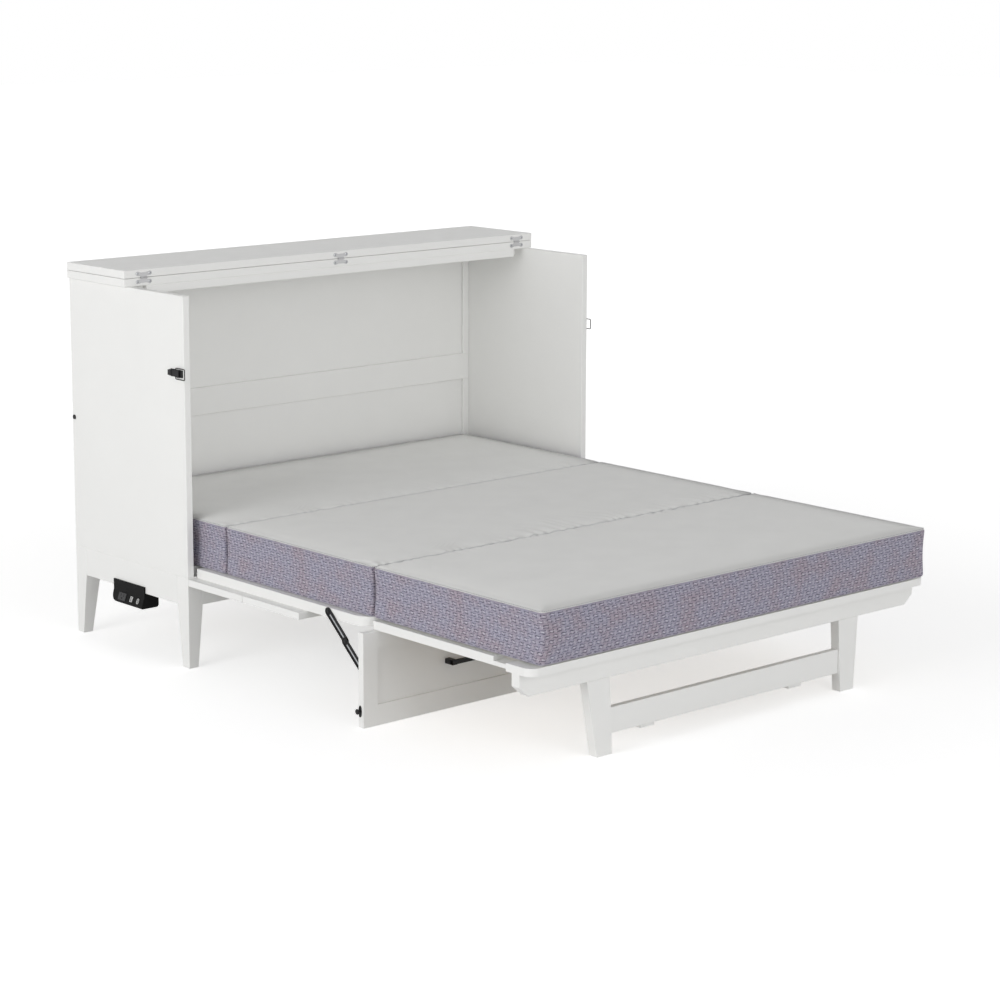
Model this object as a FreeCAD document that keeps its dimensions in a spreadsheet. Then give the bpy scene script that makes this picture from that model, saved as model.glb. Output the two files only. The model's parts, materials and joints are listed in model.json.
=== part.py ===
import FreeCAD, Part
import math
import os
import Sketcher
from FreeCAD import Rotation, Vector

# A cabinet bed, opened out: a shallow cabinet stands at the head, its front has folded down into a
# slatted platform, and a mattress in three sections lies along the whole length.
# The foot (the far end of the mattress) is -Y, the cabinet's back is +Y, the floor is z = 0, and the
# origin is on the floor under the middle of the whole bed. All lengths are in millimetres.

doc = FreeCAD.newDocument("CabinetBed")
sheet = doc.addObject("Spreadsheet::Sheet", "Sizes")

SIZES = {
    # mattress
    "mattress_width": 1524.0,
    "mattress_length": 2032.0,
    "mattress_thickness": 150.0,
    "mattress_corner": 26.0,
    "mattress_rest_gap": 0.6,
    "seam_gap": 2.0,
    # cabinet
    "cabinet_room": 47.0,
    "cabinet_depth": 597.0,
    "head_space": 18.0,
    "panel_thickness": 22.0,
    "back_thickness": 24.0,
    "floor_thickness": 24.0,
    "leg_height": 276.0,
    "apron_height": 88.0,
    "leg_depth": 56.0,
    "leg_width": 52.0,
    "leg_foot": 33.0,
    "floor_front_gap": 29.0,
    "bearer_width": 40.0,
    "board_height": 89.0,
    "board_middle": 680.5,
    "board_proud": 8.0,
    "bolt_cap_radius": 7.0,
    "bolt_cap_height": 3.0,
    "cleat_width": 25.0,
    "cleat_depth": 9.0,
    "arris": 1.2,
    # top
    "lid_thickness": 24.0,
    "lid_gap": 1.0,
    "lid_overhang": 11.0,
    "lid_front_overhang": 33.0,
    "lid_back_margin": 6.0,
    "lid_seam": 6.0,
    "face_top_gap": 6.0,
    "rail_height": 25.0,
    "rail_thickness": 22.0,
    "rail_end_gap": 47.0,
    "lid_hinge_length": 60.0,
    "lid_hinge_reach": 31.0,
    "lid_hinge_in": 59.0,
    "lid_leaf": 0.7,
    "lid_pin_radius": 2.2,
    # folding frame
    "frame_height": 28.0,
    "pivot_drop": 12.0,
    "door_gap": 1.0,
    "frame_end_gap": 4.0,
    "mid_rail_gap": 10.0,
    "mid_rail_width": 64.0,
    "mid_rail_flat": 4.0,
    "cross_rail_width": 40.0,
    "stringer_width": 60.0,
    "slat_thickness": 16.0,
    "slat_width": 62.0,
    "mid_slats": 6.0,
    "foot_slats": 4.0,
    "main_knuckle": 5.0,
    "main_pin": 2.5,
    "main_hinge_length": 150.0,
    "main_hinge_spread": 560.0,
    "section_hinge_length": 90.0,
    "section_hinge_spread": 520.0,
    "leaf_thickness": 3.0,
    "pin_clearance": 0.1,
    # painted faces
    "face_thickness": 21.0,
    "row_gap": 2.0,
    "face_stile": 50.0,
    "face_rail": 51.0,
    "face_recess": 6.0,
    "support_pin_in": 4.5,
    "support_pin_drop": 5.0,
    "support_pin": 1.4,
    "support_eye": 3.2,
    "support_eye_length": 30.0,
    "support_hinge_spread": 500.0,
    "support_foot_rail": 59.0,
    "pull_length": 208.0,
    "pull_bar": 9.0,
    "pull_reach": 28.0,
    "pull_spread": 406.0,
    "pull_post": 8.0,
    "pull_post_inset": 12.0,
    "pull_height": 138.0,
    "keeper_height": 46.0,
    "keeper_back": 4.3,
    "keeper_radius": 3.0,
    "keeper_plate_half": 13.0,
    "keeper_plate": 2.0,
    # stays
    "stay_top_in": 169.667,
    "stay_top_drop": 10.4,
    "stay_low_in": 12.067,
    "stay_low_drop": 117.0,
    "stay_width": 16.0,
    "stay_strip": 3.0,
    "stay_pin": 2.5,
    "stay_head": 5.0,
    "stay_plate_half": 12.0,
    "stay_boss": 6.0,
    # foot frame
    "foot_rail_gap": 25.0,
    "foot_rail_width": 40.0,
    "foot_rail_drop": 6.0,
    "foot_rail_height": 24.0,
    "foot_rail_cut": 183.0,
    "end_board_gap": 4.0,
    "end_board_depth": 95.0,
    "end_board_inset": 17.0,
    "end_board_height": 22.0,
    "end_board_top_drop": 6.0,
    "end_board_round": 30.0,
    "foot_slat_thickness": 18.0,
    "section_knuckle": 2.3,
    "section_pin": 1.1,
    # trestle
    "trestle_pin_in": 99.0,
    "trestle_pin_drop": 6.0,
    "trestle_knuckle": 4.0,
    "trestle_leaf": 2.0,
    "trestle_leaf_gap": 0.2,
    "trestle_gap": 7.0,
    "trestle_rail_height": 63.0,
    "trestle_thickness": 30.0,
    "trestle_chamfer_x": 33.0,
    "trestle_chamfer_z": 28.0,
    "trestle_leg_in": 456.0,
    "trestle_leg_top": 84.0,
    "trestle_leg_foot": 56.0,
    "trestle_lean": 12.0,
    "stretcher_low": 53.0,
    "stretcher_height": 71.0,
    "stretcher_thickness": 20.0,
    "block_in": 269.0,
    "block_width": 53.0,
    # latches
    "latch_width": 18.0,
    "latch_plate": 2.0,
    "latch_pin_in": 22.0,
    "latch_pin_out": 5.0,
    "latch_pin": 1.2,
    "latch_barrel": 2.6,
    "latch_ear": 2.0,
    "latch_ear_gap": 0.3,
    "latch_lever_length": 51.0,
    "bail_pin_in": 12.0,
    "bail_wire": 1.5,
    "bail_half_height": 16.0,
    "bail_reach": 10.6,
    "bail_bend": 3.5,
    # power unit
    "power_in": 221.0,
    "power_length": 163.0,
    "power_plate": 5.0,
    "power_plate_height": 20.0,
    "power_body_depth": 52.0,
    "power_body_height": 47.0,
    "power_slant": 24.0,
}

for row, (alias, number) in enumerate(SIZES.items(), start=1):
    sheet.set("A%d" % row, alias)
    sheet.set("B%d" % row, str(number))
    sheet.setAlias("B%d" % row, alias)
doc.recompute()


class Size:
    """A length that holds its value and the sheet formula which works it out."""

    def __init__(self, value, formula=None):
        self.value = float(value)
        self.formula = "(%r)" % float(value) if formula is None else formula

    def _with(self, other, sign, value):
        return Size(value, "(%s %s %s)" % (self.formula, sign, size(other).formula))

    def __add__(self, other):
        return self._with(other, "+", self.value + size(other).value)

    def __sub__(self, other):
        return self._with(other, "-", self.value - size(other).value)

    def __mul__(self, other):
        return self._with(other, "*", self.value * size(other).value)

    def __truediv__(self, other):
        return self._with(other, "/", self.value / size(other).value)

    def __radd__(self, other):
        return size(other) + self

    def __rsub__(self, other):
        return size(other) - self

    def __rmul__(self, other):
        return size(other) * self

    def __neg__(self):
        return size(0) - self


def size(length):
    """Any number as a Size."""
    return length if isinstance(length, Size) else Size(length)


class Named:
    """The sheet's cells by name, each as a Size."""


s = Named()
for alias, number in SIZES.items():
    setattr(s, alias, Size(number, "Sizes." + alias))


# ---------------------------------------------------------------- helpers

finished = {}


def bind(item, prop, length):
    """Bind one property of an object to a Size's formula."""
    item.setExpression(prop, size(length).formula)


def place(item, x=0, y=0, z=0, rotation=None):
    """Set an object's turn, and bind its position."""
    item.Placement = FreeCAD.Placement(Vector(0, 0, 0), rotation or Rotation())
    for axis, length in zip("xyz", (x, y, z)):
        bind(item, "Placement.Base." + axis, length)
    return item


def box(name, x, y, z):
    """A sharp-edged block; each of x, y and z is a pair of its two limits."""
    block = doc.addObject("Part::Box", name)
    for side, (low, high) in zip(("Length", "Width", "Height"), (x, y, z)):
        bind(block, side, size(high) - low)
    return place(block, x[0], y[0], z[0])


def board(name, x, y, z, arris=None):
    """A board with a small bevel along all its edges, as a planed board has."""
    body = doc.addObject("PartDesign::Body", name)
    plank = body.newObject("PartDesign::AdditiveBox", name + "_plank")
    for side, (low, high) in zip(("Length", "Width", "Height"), (x, y, z)):
        bind(plank, side, size(high) - low)
    doc.recompute()
    bevel = body.newObject("PartDesign::Chamfer", name + "_arris")
    bevel.Base = (plank, ["Edge%d" % (n + 1) for n in range(12)])
    bind(bevel, "Size", arris or s.arris)
    return place(body, x[0], y[0], z[0])


ROD_FLATS = 16
TURN_TO_X = Rotation(Vector(0, 1, 0), 90)
TURN_TO_Y = Rotation(Vector(1, 0, 0), -90)


def laid(bar, along, start, centre):
    """Lay an upright bar along x, y or z; centre is its place across the other two axes."""
    across, other = centre
    if along == "x":
        return place(bar, start, across, other, TURN_TO_X)
    if along == "y":
        return place(bar, across, start, other, TURN_TO_Y)
    return place(bar, across, other, start)


def disc(name, along, start, end, centre, radius):
    """A round bar, for what is wide enough to show its outline."""
    bar = doc.addObject("Part::Cylinder", name)
    bind(bar, "Radius", radius)
    bind(bar, "Height", size(end) - start)
    return laid(bar, along, start, centre)


def rod(name, along, start, end, centre, radius):
    """A thin bar or knuckle, drawn with sixteen flats to keep the many hinges light."""
    bar = doc.addObject("Part::Prism", name)
    bar.Polygon = ROD_FLATS
    bind(bar, "Circumradius", radius)
    bind(bar, "Height", size(end) - start)
    return laid(bar, along, start, centre)


def bore(name, along, start, end, centre, radius):
    """The core of a hole for such a rod: its flats clear the rod's edges all the way round."""
    clear = (radius + s.pin_clearance) / math.cos(math.pi / ROD_FLATS)
    return rod(name, along, start, end, centre, clear)


def outline(name, plane, points, low, high):
    """A prism: a closed line of points drawn on a plane and padded between two limits."""
    body = doc.addObject("PartDesign::Body", name)
    sketch = body.newObject("Sketcher::SketchObject", name + "_outline")
    origin_plane = [item for item in body.Origin.OriginFeatures if item.Role == plane][0]
    sketch.AttachmentSupport = [(origin_plane, "")]
    sketch.MapMode = "FlatFace"
    corners = [(size(u), size(v)) for u, v in points]
    for (u, v), (next_u, next_v) in zip(corners, corners[1:] + corners[:1]):
        start = Vector(u.value, v.value, 0)
        end = Vector(next_u.value, next_v.value, 0)
        sketch.addGeometry(Part.LineSegment(start, end), False)
    for n in range(len(corners)):
        sketch.addConstraint(Sketcher.Constraint("Coincident", n, 2, (n + 1) % len(corners), 1))
    for n, corner in enumerate(corners):
        for kind, length in zip(("DistanceX", "DistanceY"), corner):
            number = sketch.addConstraint(Sketcher.Constraint(kind, -1, 1, n, 1, length.value))
            sketch.setExpression("Constraints[%d]" % number, length.formula)
    doc.recompute()
    pad = body.newObject("PartDesign::Pad", name + "_pad")
    pad.Profile = sketch
    bind(pad, "Length", size(high) - low)
    if plane == "XZ_Plane":
        return place(body, y=high)
    if plane == "YZ_Plane":
        return place(body, x=low)
    return place(body, z=low)


def rounded(body, radius, *near):
    """Round the body's edges whose middles lie nearest to the given points, seen from the body."""
    doc.recompute()
    tip = body.Tip
    names = []
    for point in near:
        spot = Vector(*[size(length).value for length in point])
        gaps = [(edge.CenterOfMass - spot).Length for edge in tip.Shape.Edges]
        names.append("Edge%d" % (gaps.index(min(gaps)) + 1))
    fillet = body.newObject("PartDesign::Fillet", body.Name + "_round")
    fillet.Base = (tip, names)
    bind(fillet, "Radius", radius)
    return body


def bevelled(body, *directions):
    """Bevel every straight edge of the body's tip that runs along one of the directions."""
    doc.recompute()
    tip = body.Tip
    names = []
    for n, edge in enumerate(tip.Shape.Edges, start=1):
        if isinstance(edge.Curve, (Part.Line, Part.LineSegment)):
            run = (edge.Vertexes[-1].Point - edge.Vertexes[0].Point).normalize()
            if any(abs(run.dot(Vector(*direction))) > 0.99 for direction in directions):
                names.append("Edge%d" % n)
    bevel = body.newObject("PartDesign::Chamfer", body.Name + "_arris")
    bevel.Base = (tip, names)
    bind(bevel, "Size", s.arris)
    return body


def fuse(name, *pieces):
    """One solid made of several that overlap or touch."""
    joined = doc.addObject("Part::MultiFuse", name)
    joined.Shapes = list(pieces)
    joined.Refine = True
    return joined


def cut(name, base, *tools):
    """A solid with one or more others taken away."""
    for n, tool in enumerate(tools):
        last = n == len(tools) - 1
        result = doc.addObject("Part::Cut", name if last else "%s_step%d" % (name, n))
        result.Base = base
        result.Tool = tool
        base = result
    return base


def common(name, first, second):
    """The space that two solids share."""
    shared = doc.addObject("Part::Common", name)
    shared.Base = first
    shared.Tool = second
    return shared


def group(name, pieces):
    """Several separate solids kept together."""
    several = doc.addObject("Part::Compound", name)
    several.Links = list(pieces)
    return several


def finish(item, label):
    """Name a sub-part: its label becomes its file's name."""
    item.Label = label
    finished[label] = item
    return item


SIDES = (("left", -1), ("right", 1))


def span(sign, near, far):
    """The two limits of a distance range on one side of the middle, lowest first."""
    near, far = size(near), size(far)
    return (-far, -near) if sign < 0 else (near, far)


# ---------------------------------------------------------------- levels and planes

overall_length = s.mattress_length + s.head_space + s.back_thickness
back_y = overall_length / 2
foot_y = -overall_length / 2
inner_back_y = back_y - s.back_thickness
head_y = inner_back_y - s.head_space
third = s.mattress_length / 3
seam_head_y = head_y - third
seam_foot_y = seam_head_y - third
front_y = back_y - s.cabinet_depth
half_cabinet = s.mattress_width / 2 + s.cabinet_room
inner_half = half_cabinet - s.panel_thickness

deck_z = s.leg_height + s.floor_thickness
frame_low_z = deck_z - s.frame_height
pivot_z = deck_z - s.pivot_drop
pivot_y = front_y + s.frame_height - s.pivot_drop - s.door_gap
mid_head_y = front_y - 2
mid_foot_y = seam_foot_y + s.frame_end_gap
foot_head_y = seam_foot_y - s.frame_end_gap
mid_rail_outer = inner_half - s.mid_rail_gap
foot_rail_outer = inner_half - s.foot_rail_gap
trestle_pin_y = foot_y + s.trestle_pin_in
trestle_back_y = trestle_pin_y - s.trestle_knuckle - s.trestle_leaf_gap - s.trestle_leaf

support_pin_z = frame_low_z - s.support_pin_drop
support_pin_y = mid_foot_y - s.support_pin_in
support_top_z = support_pin_z + 1.5
face_start_y = front_y - s.door_gap
face_end_y = support_pin_y + support_pin_z + s.row_gap
face_row = (face_start_y - face_end_y - s.row_gap) / 2
face_low_z = frame_low_z - s.face_thickness

# folded up, a point (y, z) of the platform stands at height pivot_y + pivot_z - y
folded_top_z = pivot_y + pivot_z - support_pin_y + 1.5
lid_under_z = folded_top_z + s.face_top_gap
rear_top_z = lid_under_z + s.lid_thickness
lid_back_y = back_y - s.lid_back_margin
lid_pin_y = (lid_back_y + front_y - s.lid_front_overhang) / 2
lid_pin_z = rear_top_z + s.lid_gap * 0.75
lid_front_y = lid_pin_y + s.lid_seam / 2
lid_half = half_cabinet + s.lid_overhang
flap_low_z = rear_top_z + s.lid_gap
latch_z = pivot_y + pivot_z - (support_pin_y + support_pin_z - s.keeper_height)


# ---------------------------------------------------------------- cabinet

def make_leg(label, side, end):
    """A planed post whose two inner faces are sawn to a taper below the aprons."""
    shoulder_z = s.leg_height - s.apron_height
    outer_x = side * half_cabinet
    outer_y = front_y if end < 0 else back_y
    inward = -end
    inner_y = outer_y + inward * s.leg_depth
    across = outline(label + "_across", "XZ_Plane", [
        (outer_x, 0),
        (outer_x - side * s.leg_foot, 0),
        (outer_x - side * s.leg_width, shoulder_z),
        (outer_x - side * s.leg_width, s.leg_height),
        (outer_x, s.leg_height),
    ], front_y - 50, back_y + 50)
    along = outline(label + "_along", "YZ_Plane", [
        (outer_y, 0),
        (outer_y + inward * s.leg_foot, 0),
        (inner_y, shoulder_z),
        (inner_y, s.leg_height),
        (outer_y, s.leg_height),
    ], -half_cabinet - 50, half_cabinet + 50)
    post = board(label + "_post", span(side, half_cabinet - s.leg_width, half_cabinet),
                 (outer_y, inner_y) if end < 0 else (inner_y, outer_y), (0, s.leg_height))
    return common(label, common(label + "_sawn", across, along), post)


def make_cabinet():
    """Sides, back, aprons, legs and floor: the carcass that stays put."""
    apron_low_z = s.leg_height - s.apron_height
    aprons = []
    for word, side in SIDES:
        x = span(side, inner_half, half_cabinet)
        panel = board("side_panel_" + word, x, (front_y, back_y), (s.leg_height, lid_under_z))
        finish(panel, "side_panel_" + word)
        y = (front_y + s.leg_depth, back_y - s.leg_depth)
        aprons.append(board("apron_" + word, x, y, (apron_low_z, s.leg_height)))
    finish(group("side_aprons", aprons), "side_aprons")
    for end_word, end in (("front", -1), ("back", 1)):
        pair = [make_leg("leg_%s_%s" % (end_word, word), side, end) for word, side in SIDES]
        finish(group("%s_legs" % end_word, pair), "%s_legs" % end_word)
    between_legs = (s.leg_width - half_cabinet, half_cabinet - s.leg_width)
    inside = (-inner_half, inner_half)
    front = board("apron_front", between_legs, (front_y, front_y + s.panel_thickness),
                  (apron_low_z, s.leg_height))
    finish(front, "apron_front")
    rear = board("apron_back", between_legs, (back_y - s.back_thickness, back_y),
                 (apron_low_z, s.leg_height))
    finish(rear, "apron_back")
    back = board("back_panel", inside, (inner_back_y, back_y), (s.leg_height, lid_under_z))
    finish(back, "back_panel")
    deck = board("cabinet_floor", inside, (front_y + s.floor_front_gap, inner_back_y),
                 (s.leg_height, deck_z))
    finish(deck, "cabinet_floor")
    bearers = [board("bearer_%d" % n, (middle - s.bearer_width / 2, middle + s.bearer_width / 2),
                     (front_y + s.panel_thickness, inner_back_y),
                     (s.leg_height - s.bearer_width, s.leg_height))
               for n, middle in enumerate((-inner_half / 2, size(0), inner_half / 2))]
    finish(group("floor_bearers", bearers), "floor_bearers")


def make_back_board():
    """The head board across the back's inside, and the cleats in the cabinet's corners."""
    low = s.board_middle - s.board_height / 2
    high = s.board_middle + s.board_height / 2
    y = (inner_back_y - s.board_proud, inner_back_y)
    finish(board("back_board", (-inner_half, inner_half), y, (low, high)), "back_board")
    cleats = []
    for word, side in SIDES:
        x = span(side, inner_half - s.cleat_width, inner_half)
        for level, z in (("low", (deck_z, low)), ("high", (high, lid_under_z))):
            y = (inner_back_y - s.cleat_depth, inner_back_y)
            cleats.append(board("cleat_%s_%s" % (word, level), x, y, z))
        y = (lid_front_y + 2 * s.rail_thickness, inner_back_y - 2 * s.rail_thickness)
        x = span(side, inner_half - s.rail_thickness, inner_half)
        cleats.append(board("top_cleat_" + word, x, y, (lid_under_z - s.rail_height, lid_under_z)))
    finish(group("cleats", cleats), "cleats")


def make_top():
    """The fixed rear half of the top, the rail under its front edge, and the flap."""
    x = (-lid_half, lid_half)
    y = (lid_front_y, lid_back_y)
    finish(board("rear_top", x, y, (lid_under_z, rear_top_z)), "rear_top")
    finish(board("top_flap", x, y, (flap_low_z, flap_low_z + s.lid_thickness)), "top_flap")
    rail_z = (lid_under_z - s.rail_height, lid_under_z)
    reach = inner_half - s.rail_end_gap
    rail = board("top_rail", (-reach, reach),
                 (lid_front_y, lid_front_y + s.rail_thickness), rail_z)
    finish(rail, "top_rail")


def make_lid_hinges():
    """Three flap hinges: two leaves each on the top's front edges, round one pin line."""
    fixed = []
    moving = []
    leaf_y = (lid_front_y - s.lid_leaf, lid_front_y)
    web_y = (lid_pin_y, lid_front_y - s.lid_leaf)
    for n, middle in enumerate(three_across(half_cabinet - s.lid_hinge_in)):
        half = s.lid_hinge_length / 2
        sixth = s.lid_hinge_length / 6
        low_leaf = box("lid_leaf_low%d" % n, (middle - half, middle + half), leaf_y,
                       (rear_top_z - s.lid_hinge_reach * 0.6, rear_top_z))
        high_leaf = box("lid_leaf_high%d" % n, (middle - half, middle + half), leaf_y,
                        (flap_low_z, flap_low_z + s.lid_hinge_reach * 0.6))
        outer = []
        for end, (start, stop) in enumerate(((middle - half, middle - sixth - 0.3),
                                             (middle + sixth + 0.3, middle + half))):
            outer.append(box("lid_web_low%d%d" % (n, end), (start, stop), web_y,
                             (lid_pin_z - s.lid_pin_radius, rear_top_z)))
            outer.append(rod("lid_knuckle_low%d%d" % (n, end), "x", start, stop,
                             (lid_pin_y, lid_pin_z), s.lid_pin_radius))
        outer.append(rod("lid_pin%d" % n, "x", middle - half, middle + half,
                         (lid_pin_y, lid_pin_z), s.lid_pin_radius / 2))
        fixed.append(fuse("lid_hinge_low%d" % n, low_leaf, *outer))
        inner = fuse("lid_knuckle_high%d" % n, high_leaf,
                     box("lid_web_high%d" % n, (middle - sixth, middle + sixth), web_y,
                         (flap_low_z, lid_pin_z + s.lid_pin_radius)),
                     rod("lid_barrel%d" % n, "x", middle - sixth, middle + sixth,
                         (lid_pin_y, lid_pin_z), s.lid_pin_radius))
        hole = bore("lid_bore%d" % n, "x", middle - half, middle + half, (lid_pin_y, lid_pin_z),
                    s.lid_pin_radius / 2)
        moving.append(cut("lid_hinge_high%d" % n, inner, hole))
    finish(group("lid_hinge_leaves_fixed", fixed), "lid_hinge_leaves_fixed")
    finish(group("lid_hinge_leaves_moving", moving), "lid_hinge_leaves_moving")


def make_bolt_caps():
    """Round caps over the bolts that draw the sides onto the back board."""
    caps = []
    for word, side in SIDES:
        start, end = span(side, half_cabinet, half_cabinet + s.bolt_cap_height)
        caps.append(disc("bolt_cap_" + word, "x", start, end,
                        (back_y - s.back_thickness / 2, s.board_middle), s.bolt_cap_radius))
    finish(group("bolt_caps", caps), "bolt_caps")


def make_power_unit():
    """A socket unit hung on the left apron: a face plate, and a body under the apron's edge."""
    apron_low_z = s.leg_height - s.apron_height
    outer_x = -half_cabinet - s.power_plate
    plate_top_z = apron_low_z + s.power_plate_height
    low_z = apron_low_z - s.power_body_height
    y = (front_y + s.power_in, front_y + s.power_in + s.power_length)
    section = [
        (outer_x, plate_top_z),
        (-half_cabinet, plate_top_z),
        (-half_cabinet, apron_low_z),
        (outer_x + s.power_body_depth, apron_low_z),
        (outer_x + s.power_body_depth, low_z),
        (outer_x + s.power_slant, low_z),
        (outer_x, low_z + s.power_slant),
    ]
    body = outline("power_unit", "XZ_Plane", section, y[0], y[1])
    middle_y = -s.power_length / 2
    rounded(body, 8, (outer_x + s.power_body_depth, middle_y, low_z))
    finish(body, "power_unit")
    # the outlet and the two charging ports lie on the slanted face, each a thin plate
    faces = []
    for n, (gap, length, margin) in enumerate(((14, 38, 4), (74, 13, 9), (112, 13, 9))):
        near, far = size(margin), s.power_slant - margin
        corners = []
        for across, lift in ((near, 0), (far, 0), (far, 0.6), (near, 0.6)):
            corners.append((outer_x + across - lift, low_z + s.power_slant - across - lift))
        stop = y[1] - gap
        faces.append(outline("power_face_%d" % n, "XZ_Plane", corners, stop - length, stop))
    finish(group("power_outlets", faces), "power_outlets")


# ---------------------------------------------------------------- hinges

def butt_hinge(name, middle, length, pin, radius, pin_radius, fixed, moving):
    """A three-knuckle hinge across x: its fixed half with the pin, and its bored moving half.

    pin is (y, z); fixed and moving are each a leaf and a web, as ((y, y), (z, z)) pairs. The leaf
    is full length, and the web joins it to the knuckles of its own half.
    """
    half, sixth = length / 2, length / 6
    gap = 0.3
    outer_spans = ((middle - half, middle - sixth - gap), (middle + sixth + gap, middle + half))
    inner_span = (middle - sixth, middle + sixth)
    whole = (middle - half, middle + half)
    fixed_leaf, fixed_web = fixed
    moving_leaf, moving_web = moving
    held = [box(name + "_leaf_a", whole, *fixed_leaf)]
    for n, reach in enumerate(outer_spans):
        held.append(box("%s_web_a%d" % (name, n), reach, *fixed_web))
        held.append(rod("%s_knuckle_a%d" % (name, n), "x", reach[0], reach[1], pin, radius))
    held.append(rod(name + "_pin", "x", whole[0], whole[1], pin, pin_radius))
    turning = fuse(name + "_b", box(name + "_leaf_b", whole, *moving_leaf),
                   box(name + "_web_b", inner_span, *moving_web),
                   rod(name + "_knuckle_b", "x", inner_span[0], inner_span[1], pin, radius))
    hole = bore(name + "_bore", "x", inner_span[0] - 1, inner_span[1] + 1, pin, pin_radius)
    return fuse(name + "_fixed", *held), cut(name + "_moving", turning, hole)


def hinge_row(middles, fixed_label, moving_label, **shape):
    """Several like hinges on one pin line; each half is one node."""
    halves = [butt_hinge("%s_%d" % (moving_label, n), middle, **shape)
              for n, middle in enumerate(middles)]
    finish(group(fixed_label, [pair[0] for pair in halves]), fixed_label)
    finish(group(moving_label, [pair[1] for pair in halves]), moving_label)


def three_across(spread):
    """Places for three like things: left, middle and right."""
    return (-spread, size(0), size(spread))


def make_hinges():
    """Every row of hinges, in the order the bed folds."""
    floor_y = front_y + s.floor_front_gap
    leaf = s.leaf_thickness
    web = (pivot_z - leaf / 2, pivot_z + leaf / 2)
    leaf_z = (s.leg_height + 1, deck_z - 1)
    hinge_row(three_across(s.main_hinge_spread), "main_hinge_fixed", "main_hinge_moving",
              length=s.main_hinge_length, pin=(pivot_y, pivot_z), radius=s.main_knuckle,
              pin_radius=s.main_pin,
              fixed=(((floor_y - leaf, floor_y), leaf_z), ((pivot_y, floor_y - leaf), web)),
              moving=(((mid_head_y, mid_head_y + leaf), leaf_z), ((mid_head_y + leaf, pivot_y), web)))
    thin = leaf / 2
    seam_pin_z = deck_z + 0.5
    leaf_z = (deck_z - 22, seam_pin_z - 0.3)
    web = (seam_pin_z - 1.5, seam_pin_z - 0.3)
    hinge_row(three_across(s.section_hinge_spread), "section_hinge_mid", "section_hinge_foot",
              length=s.section_hinge_length, pin=(seam_foot_y, seam_pin_z),
              radius=s.section_knuckle, pin_radius=s.section_pin,
              fixed=(((mid_foot_y - thin, mid_foot_y), leaf_z), ((seam_foot_y, mid_foot_y - thin), web)),
              moving=(((foot_head_y, foot_head_y + thin), leaf_z),
                      ((foot_head_y + thin, seam_foot_y), web)))
    board_low_z = deck_z - s.end_board_top_drop - s.end_board_height
    pin_z = board_low_z - s.trestle_pin_drop
    rail_back_y = trestle_back_y
    hang_y = trestle_pin_y + s.trestle_knuckle
    hinge_row(three_across(s.section_hinge_spread), "trestle_hinge_fixed", "trestle_hinge_moving",
              length=s.section_hinge_length, pin=(trestle_pin_y, pin_z), radius=s.trestle_knuckle,
              pin_radius=s.section_pin,
              fixed=(((trestle_pin_y - 1, hang_y + 8), (board_low_z - 1.5, board_low_z)),
                     ((trestle_pin_y - 1, trestle_pin_y + 1), (pin_z, board_low_z - 1.5))),
              moving=(((rail_back_y, rail_back_y + s.trestle_leaf), (pin_z - 30, pin_z + 3)),
                      ((rail_back_y + s.trestle_leaf, trestle_pin_y), (pin_z - 1, pin_z + 1))))


# ---------------------------------------------------------------- middle frame and painted faces

def make_mid_frame():
    """The frame behind the cabinet's folding front: rails, a middle bearer and slats."""
    inner = mid_rail_outer - s.mid_rail_width
    x = (-inner, inner)
    z = (frame_low_z, deck_z)
    for word, side in SIDES:
        corners = [
            (side * inner, mid_foot_y),
            (side * mid_rail_outer, mid_foot_y),
            (side * mid_rail_outer, mid_head_y),
            (side * inner, mid_head_y),
        ]
        rail = outline("mid_rail_" + word, "XY_Plane", corners, *z)
        rounded(rail, s.mid_rail_width - s.mid_rail_flat,
                (side * mid_rail_outer, mid_foot_y, s.frame_height / 2))
        finish(rail, "mid_rail_" + word)
    head = (mid_head_y - s.cross_rail_width, mid_head_y)
    foot = (mid_foot_y, mid_foot_y + s.cross_rail_width)
    finish(board("mid_head_rail", x, head, z), "mid_head_rail")
    finish(board("mid_foot_rail", x, foot, z), "mid_foot_rail")
    stringer = board("mid_stringer", (-s.stringer_width / 2, s.stringer_width / 2),
                     (foot[1], head[0]), (frame_low_z, deck_z - s.slat_thickness))
    finish(stringer, "mid_stringer")
    slats = slat_row("mid_slat", int(s.mid_slats.value), s.mid_slats, x, (foot[1], head[0]),
                     (deck_z - s.slat_thickness, deck_z))
    finish(group("mid_slats", slats), "mid_slats")


def slat_row(name, count, count_size, x, y, z):
    """Slats spread evenly between two rails, with half a gap at each end."""
    pitch = (y[1] - y[0]) / count_size
    slats = []
    for n in range(count):
        middle = y[0] + pitch * (n + 0.5)
        slats.append(board("%s_%d" % (name, n), x,
                           (middle - s.slat_width / 2, middle + s.slat_width / 2), z))
    return slats


def make_face(label, y):
    """One painted board of the cabinet's front, face down while the bed is open, with its panel."""
    plank = board(label + "_board", (-half_cabinet, half_cabinet), y, (face_low_z, frame_low_z))
    recess = box(label + "_recess", (s.face_stile - half_cabinet, half_cabinet - s.face_stile),
                 (y[0] + s.face_rail, y[1] - s.face_rail), (face_low_z - 5, face_low_z + s.face_recess))
    finish(cut(label, plank, recess), label)


def make_pulls(label, place_bar, place_post):
    """The pieces of a pair of bar pulls; each is a square bar on two posts."""
    pieces = []
    for word, side in SIDES:
        middle = side * s.pull_spread
        half = s.pull_length / 2
        pieces.append(place_bar("%s_bar_%s" % (label, word), (middle - half, middle + half)))
        for end in (-1, 1):
            centre = middle + end * (half - s.pull_post_inset)
            reach = (centre - s.pull_post / 2, centre + s.pull_post / 2)
            pieces.append(place_post("%s_post_%s%d" % (label, word, end + 1), reach))
    return pieces


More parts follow.
